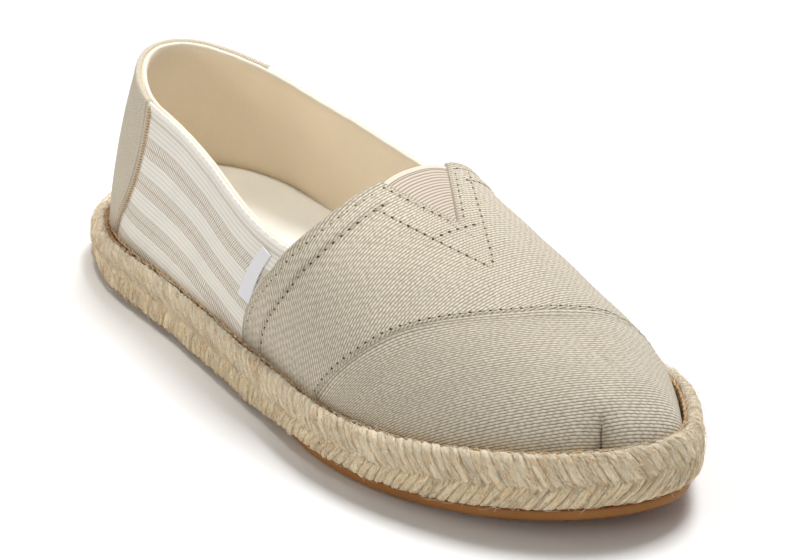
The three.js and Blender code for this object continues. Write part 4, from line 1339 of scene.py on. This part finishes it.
# ------------------------------------------------------------------ blank side tab and heel patch
def patch(name, q0, q1, t0, t1, sign, lift, thick, mat, nu=26, nv=34, corner=.12, curl=None):
    """A small flat piece of cloth lying on the upper; q shares of pi, t levels at its four sides."""
    a, b = np.meshgrid(np.linspace(0, 1, nu), np.linspace(0, 1, nv), indexing="ij")
    f = (q0[0] * (1 - a) + q0[1] * a) * (1 - b) + (q1[0] * (1 - a) + q1[1] * a) * b
    t = t0 * (1 - a) + t1 * a
    p = last(np.mod(f * sign, 2) * PI, t)
    n = normals(p)
    bulge = lift + (curl(a, b) if curl is not None else 0)
    p = p + n * (bulge * np.ones_like(a))[..., None]
    return shell(name, p, n, thick / 2, -thick / 2, np.stack([run_length(p, 0), run_length(p, 1)], -1), [mat, mat],
                 end_drop=thick * .4, end_width=thick * .6, steps=5, slot="canvas")


patch("side_tab", (.4965, .4705), (.5065, .4865), .318, .118, 1, .34, .40, TABCLOTH, nu=44, nv=18,
      curl=lambda a, b: .30 * (1 - b) ** 2 + .05 * np.sin(a * 5))
patch("heel_patch", (-.052, -.052), (.058, .058), .385, .235, 1, .62, .5, PATCHCLOTH, nu=40, nv=44,
      curl=lambda a, b: .06 * np.sin(a * 9 + b * 4))

# ------------------------------------------------------------------ camera, light, floor
PITCH_DOWN, ROLL, FOCAL, CAM_H = math.radians(24.4), math.radians(0.35), 3169.0, 486.8
TX, TY, TURN_Z = -119.08, 1099.74, math.radians(-53.7)
rot = Matrix.Rotation(-TURN_Z, 3, "Z")
cam_mm = rot @ Vector((0 - TX, 0 - TY, CAM_H))
right, up, ahead = Vector((1, 0, 0)), Vector((0, math.sin(PITCH_DOWN), math.cos(PITCH_DOWN))), Vector((0, math.cos(PITCH_DOWN), -math.sin(PITCH_DOWN)))
right, up = math.cos(ROLL) * right - math.sin(ROLL) * up, math.sin(ROLL) * right + math.cos(ROLL) * up
AIM, ZOOM = (297.0, 299.5), 1.24           # where the view's centre points, and how much closer the frame is
ahead2 = (ahead + right * ((AIM[0] - 400) / FOCAL) + up * ((280 - AIM[1]) / FOCAL)).normalized()
right2 = (right - ahead2 * right.dot(ahead2)).normalized()
up2 = right2.cross(ahead2)
m = Matrix((rot @ right2, rot @ up2, -(rot @ ahead2))).transposed().to_4x4()
m.translation = Vector(to_row(np.array(cam_mm)).tolist())
cam = bpy.data.objects.new("Camera", bpy.data.cameras.new("Camera"))
bpy.context.scene.collection.objects.link(cam)
cam.matrix_world = m
cam.data.sensor_width = 36.0
cam.data.lens = FOCAL * ZOOM * 36.0 / 800.0
cam.data.clip_start, cam.data.clip_end = 0.05, 20.0
bpy.context.scene.camera = cam

floor_me = bpy.data.meshes.new("floor")
floor_me.from_pydata([(-6, -6, 0), (6, -6, 0), (6, 6, 0), (-6, 6, 0)], [], [(0, 1, 2, 3)])
floor = bpy.data.objects.new("floor", floor_me)
bpy.context.scene.collection.objects.link(floor)
fm = Mat("floor_pale", rough=0.7, spec=0.1)
FLOOR = fm.finish((0.93, 0.93, 0.93))
floor_me.materials.append(FLOOR)


def lamp(name, kind, where, towards, power, size=None, colour=(1, 1, 1), spread=None):
    data = bpy.data.lights.new(name, kind)
    data.energy, data.color = power, colour
    if kind == "AREA":
        data.shape, data.size, data.size_y = "RECTANGLE", size[0], size[1]
        if spread:
            data.spread = spread
    ob = bpy.data.objects.new(name, data)
    bpy.context.scene.collection.objects.link(ob)
    ob.location = where
    ob.rotation_mode = "QUATERNION"
    ob.rotation_quaternion = (Vector(towards) - Vector(where)).to_track_quat("-Z", "Y")
    return ob


view_right, view_back = rot @ right2, -(rot @ Vector((0, 1, 0)))   # in the floor's plane: to the right and towards the camera
lamp("top_softbox", "AREA", tuple(Vector((0, 0, 1.8)) - view_back * 0.5 + view_right * 0.5), (0, 0, 0), 33.0, (0.7, 0.6))
lamp("warm_fill", "AREA", tuple(view_right * -1.3 + view_back * 0.9 + Vector((0, 0, 0.55))), (0, 0, 0.03), 4.4, (0.8, 0.5), (1.0, .91, .78))
inside = lamp("inside_fill", "SPOT", tuple(Vector((-.066, .012, 1.8)) + view_back * 0.42), (-.066, .012, .02), 155.0, colour=(1.0, .98, .95))
inside.data.spot_size, inside.data.spot_blend, inside.data.shadow_soft_size = math.radians(4.8), 1.0, .10
world = bpy.data.worlds.new("World")
bpy.context.scene.world = world
world.use_nodes = True
world.node_tree.nodes["Background"].inputs[0].default_value = (1.0, 1.0, 1.0, 1.0)
world.node_tree.nodes["Background"].inputs[1].default_value = 0.30
bpy.context.scene.view_settings.view_transform = "Standard"
bpy.context.scene.view_settings.look = "None"
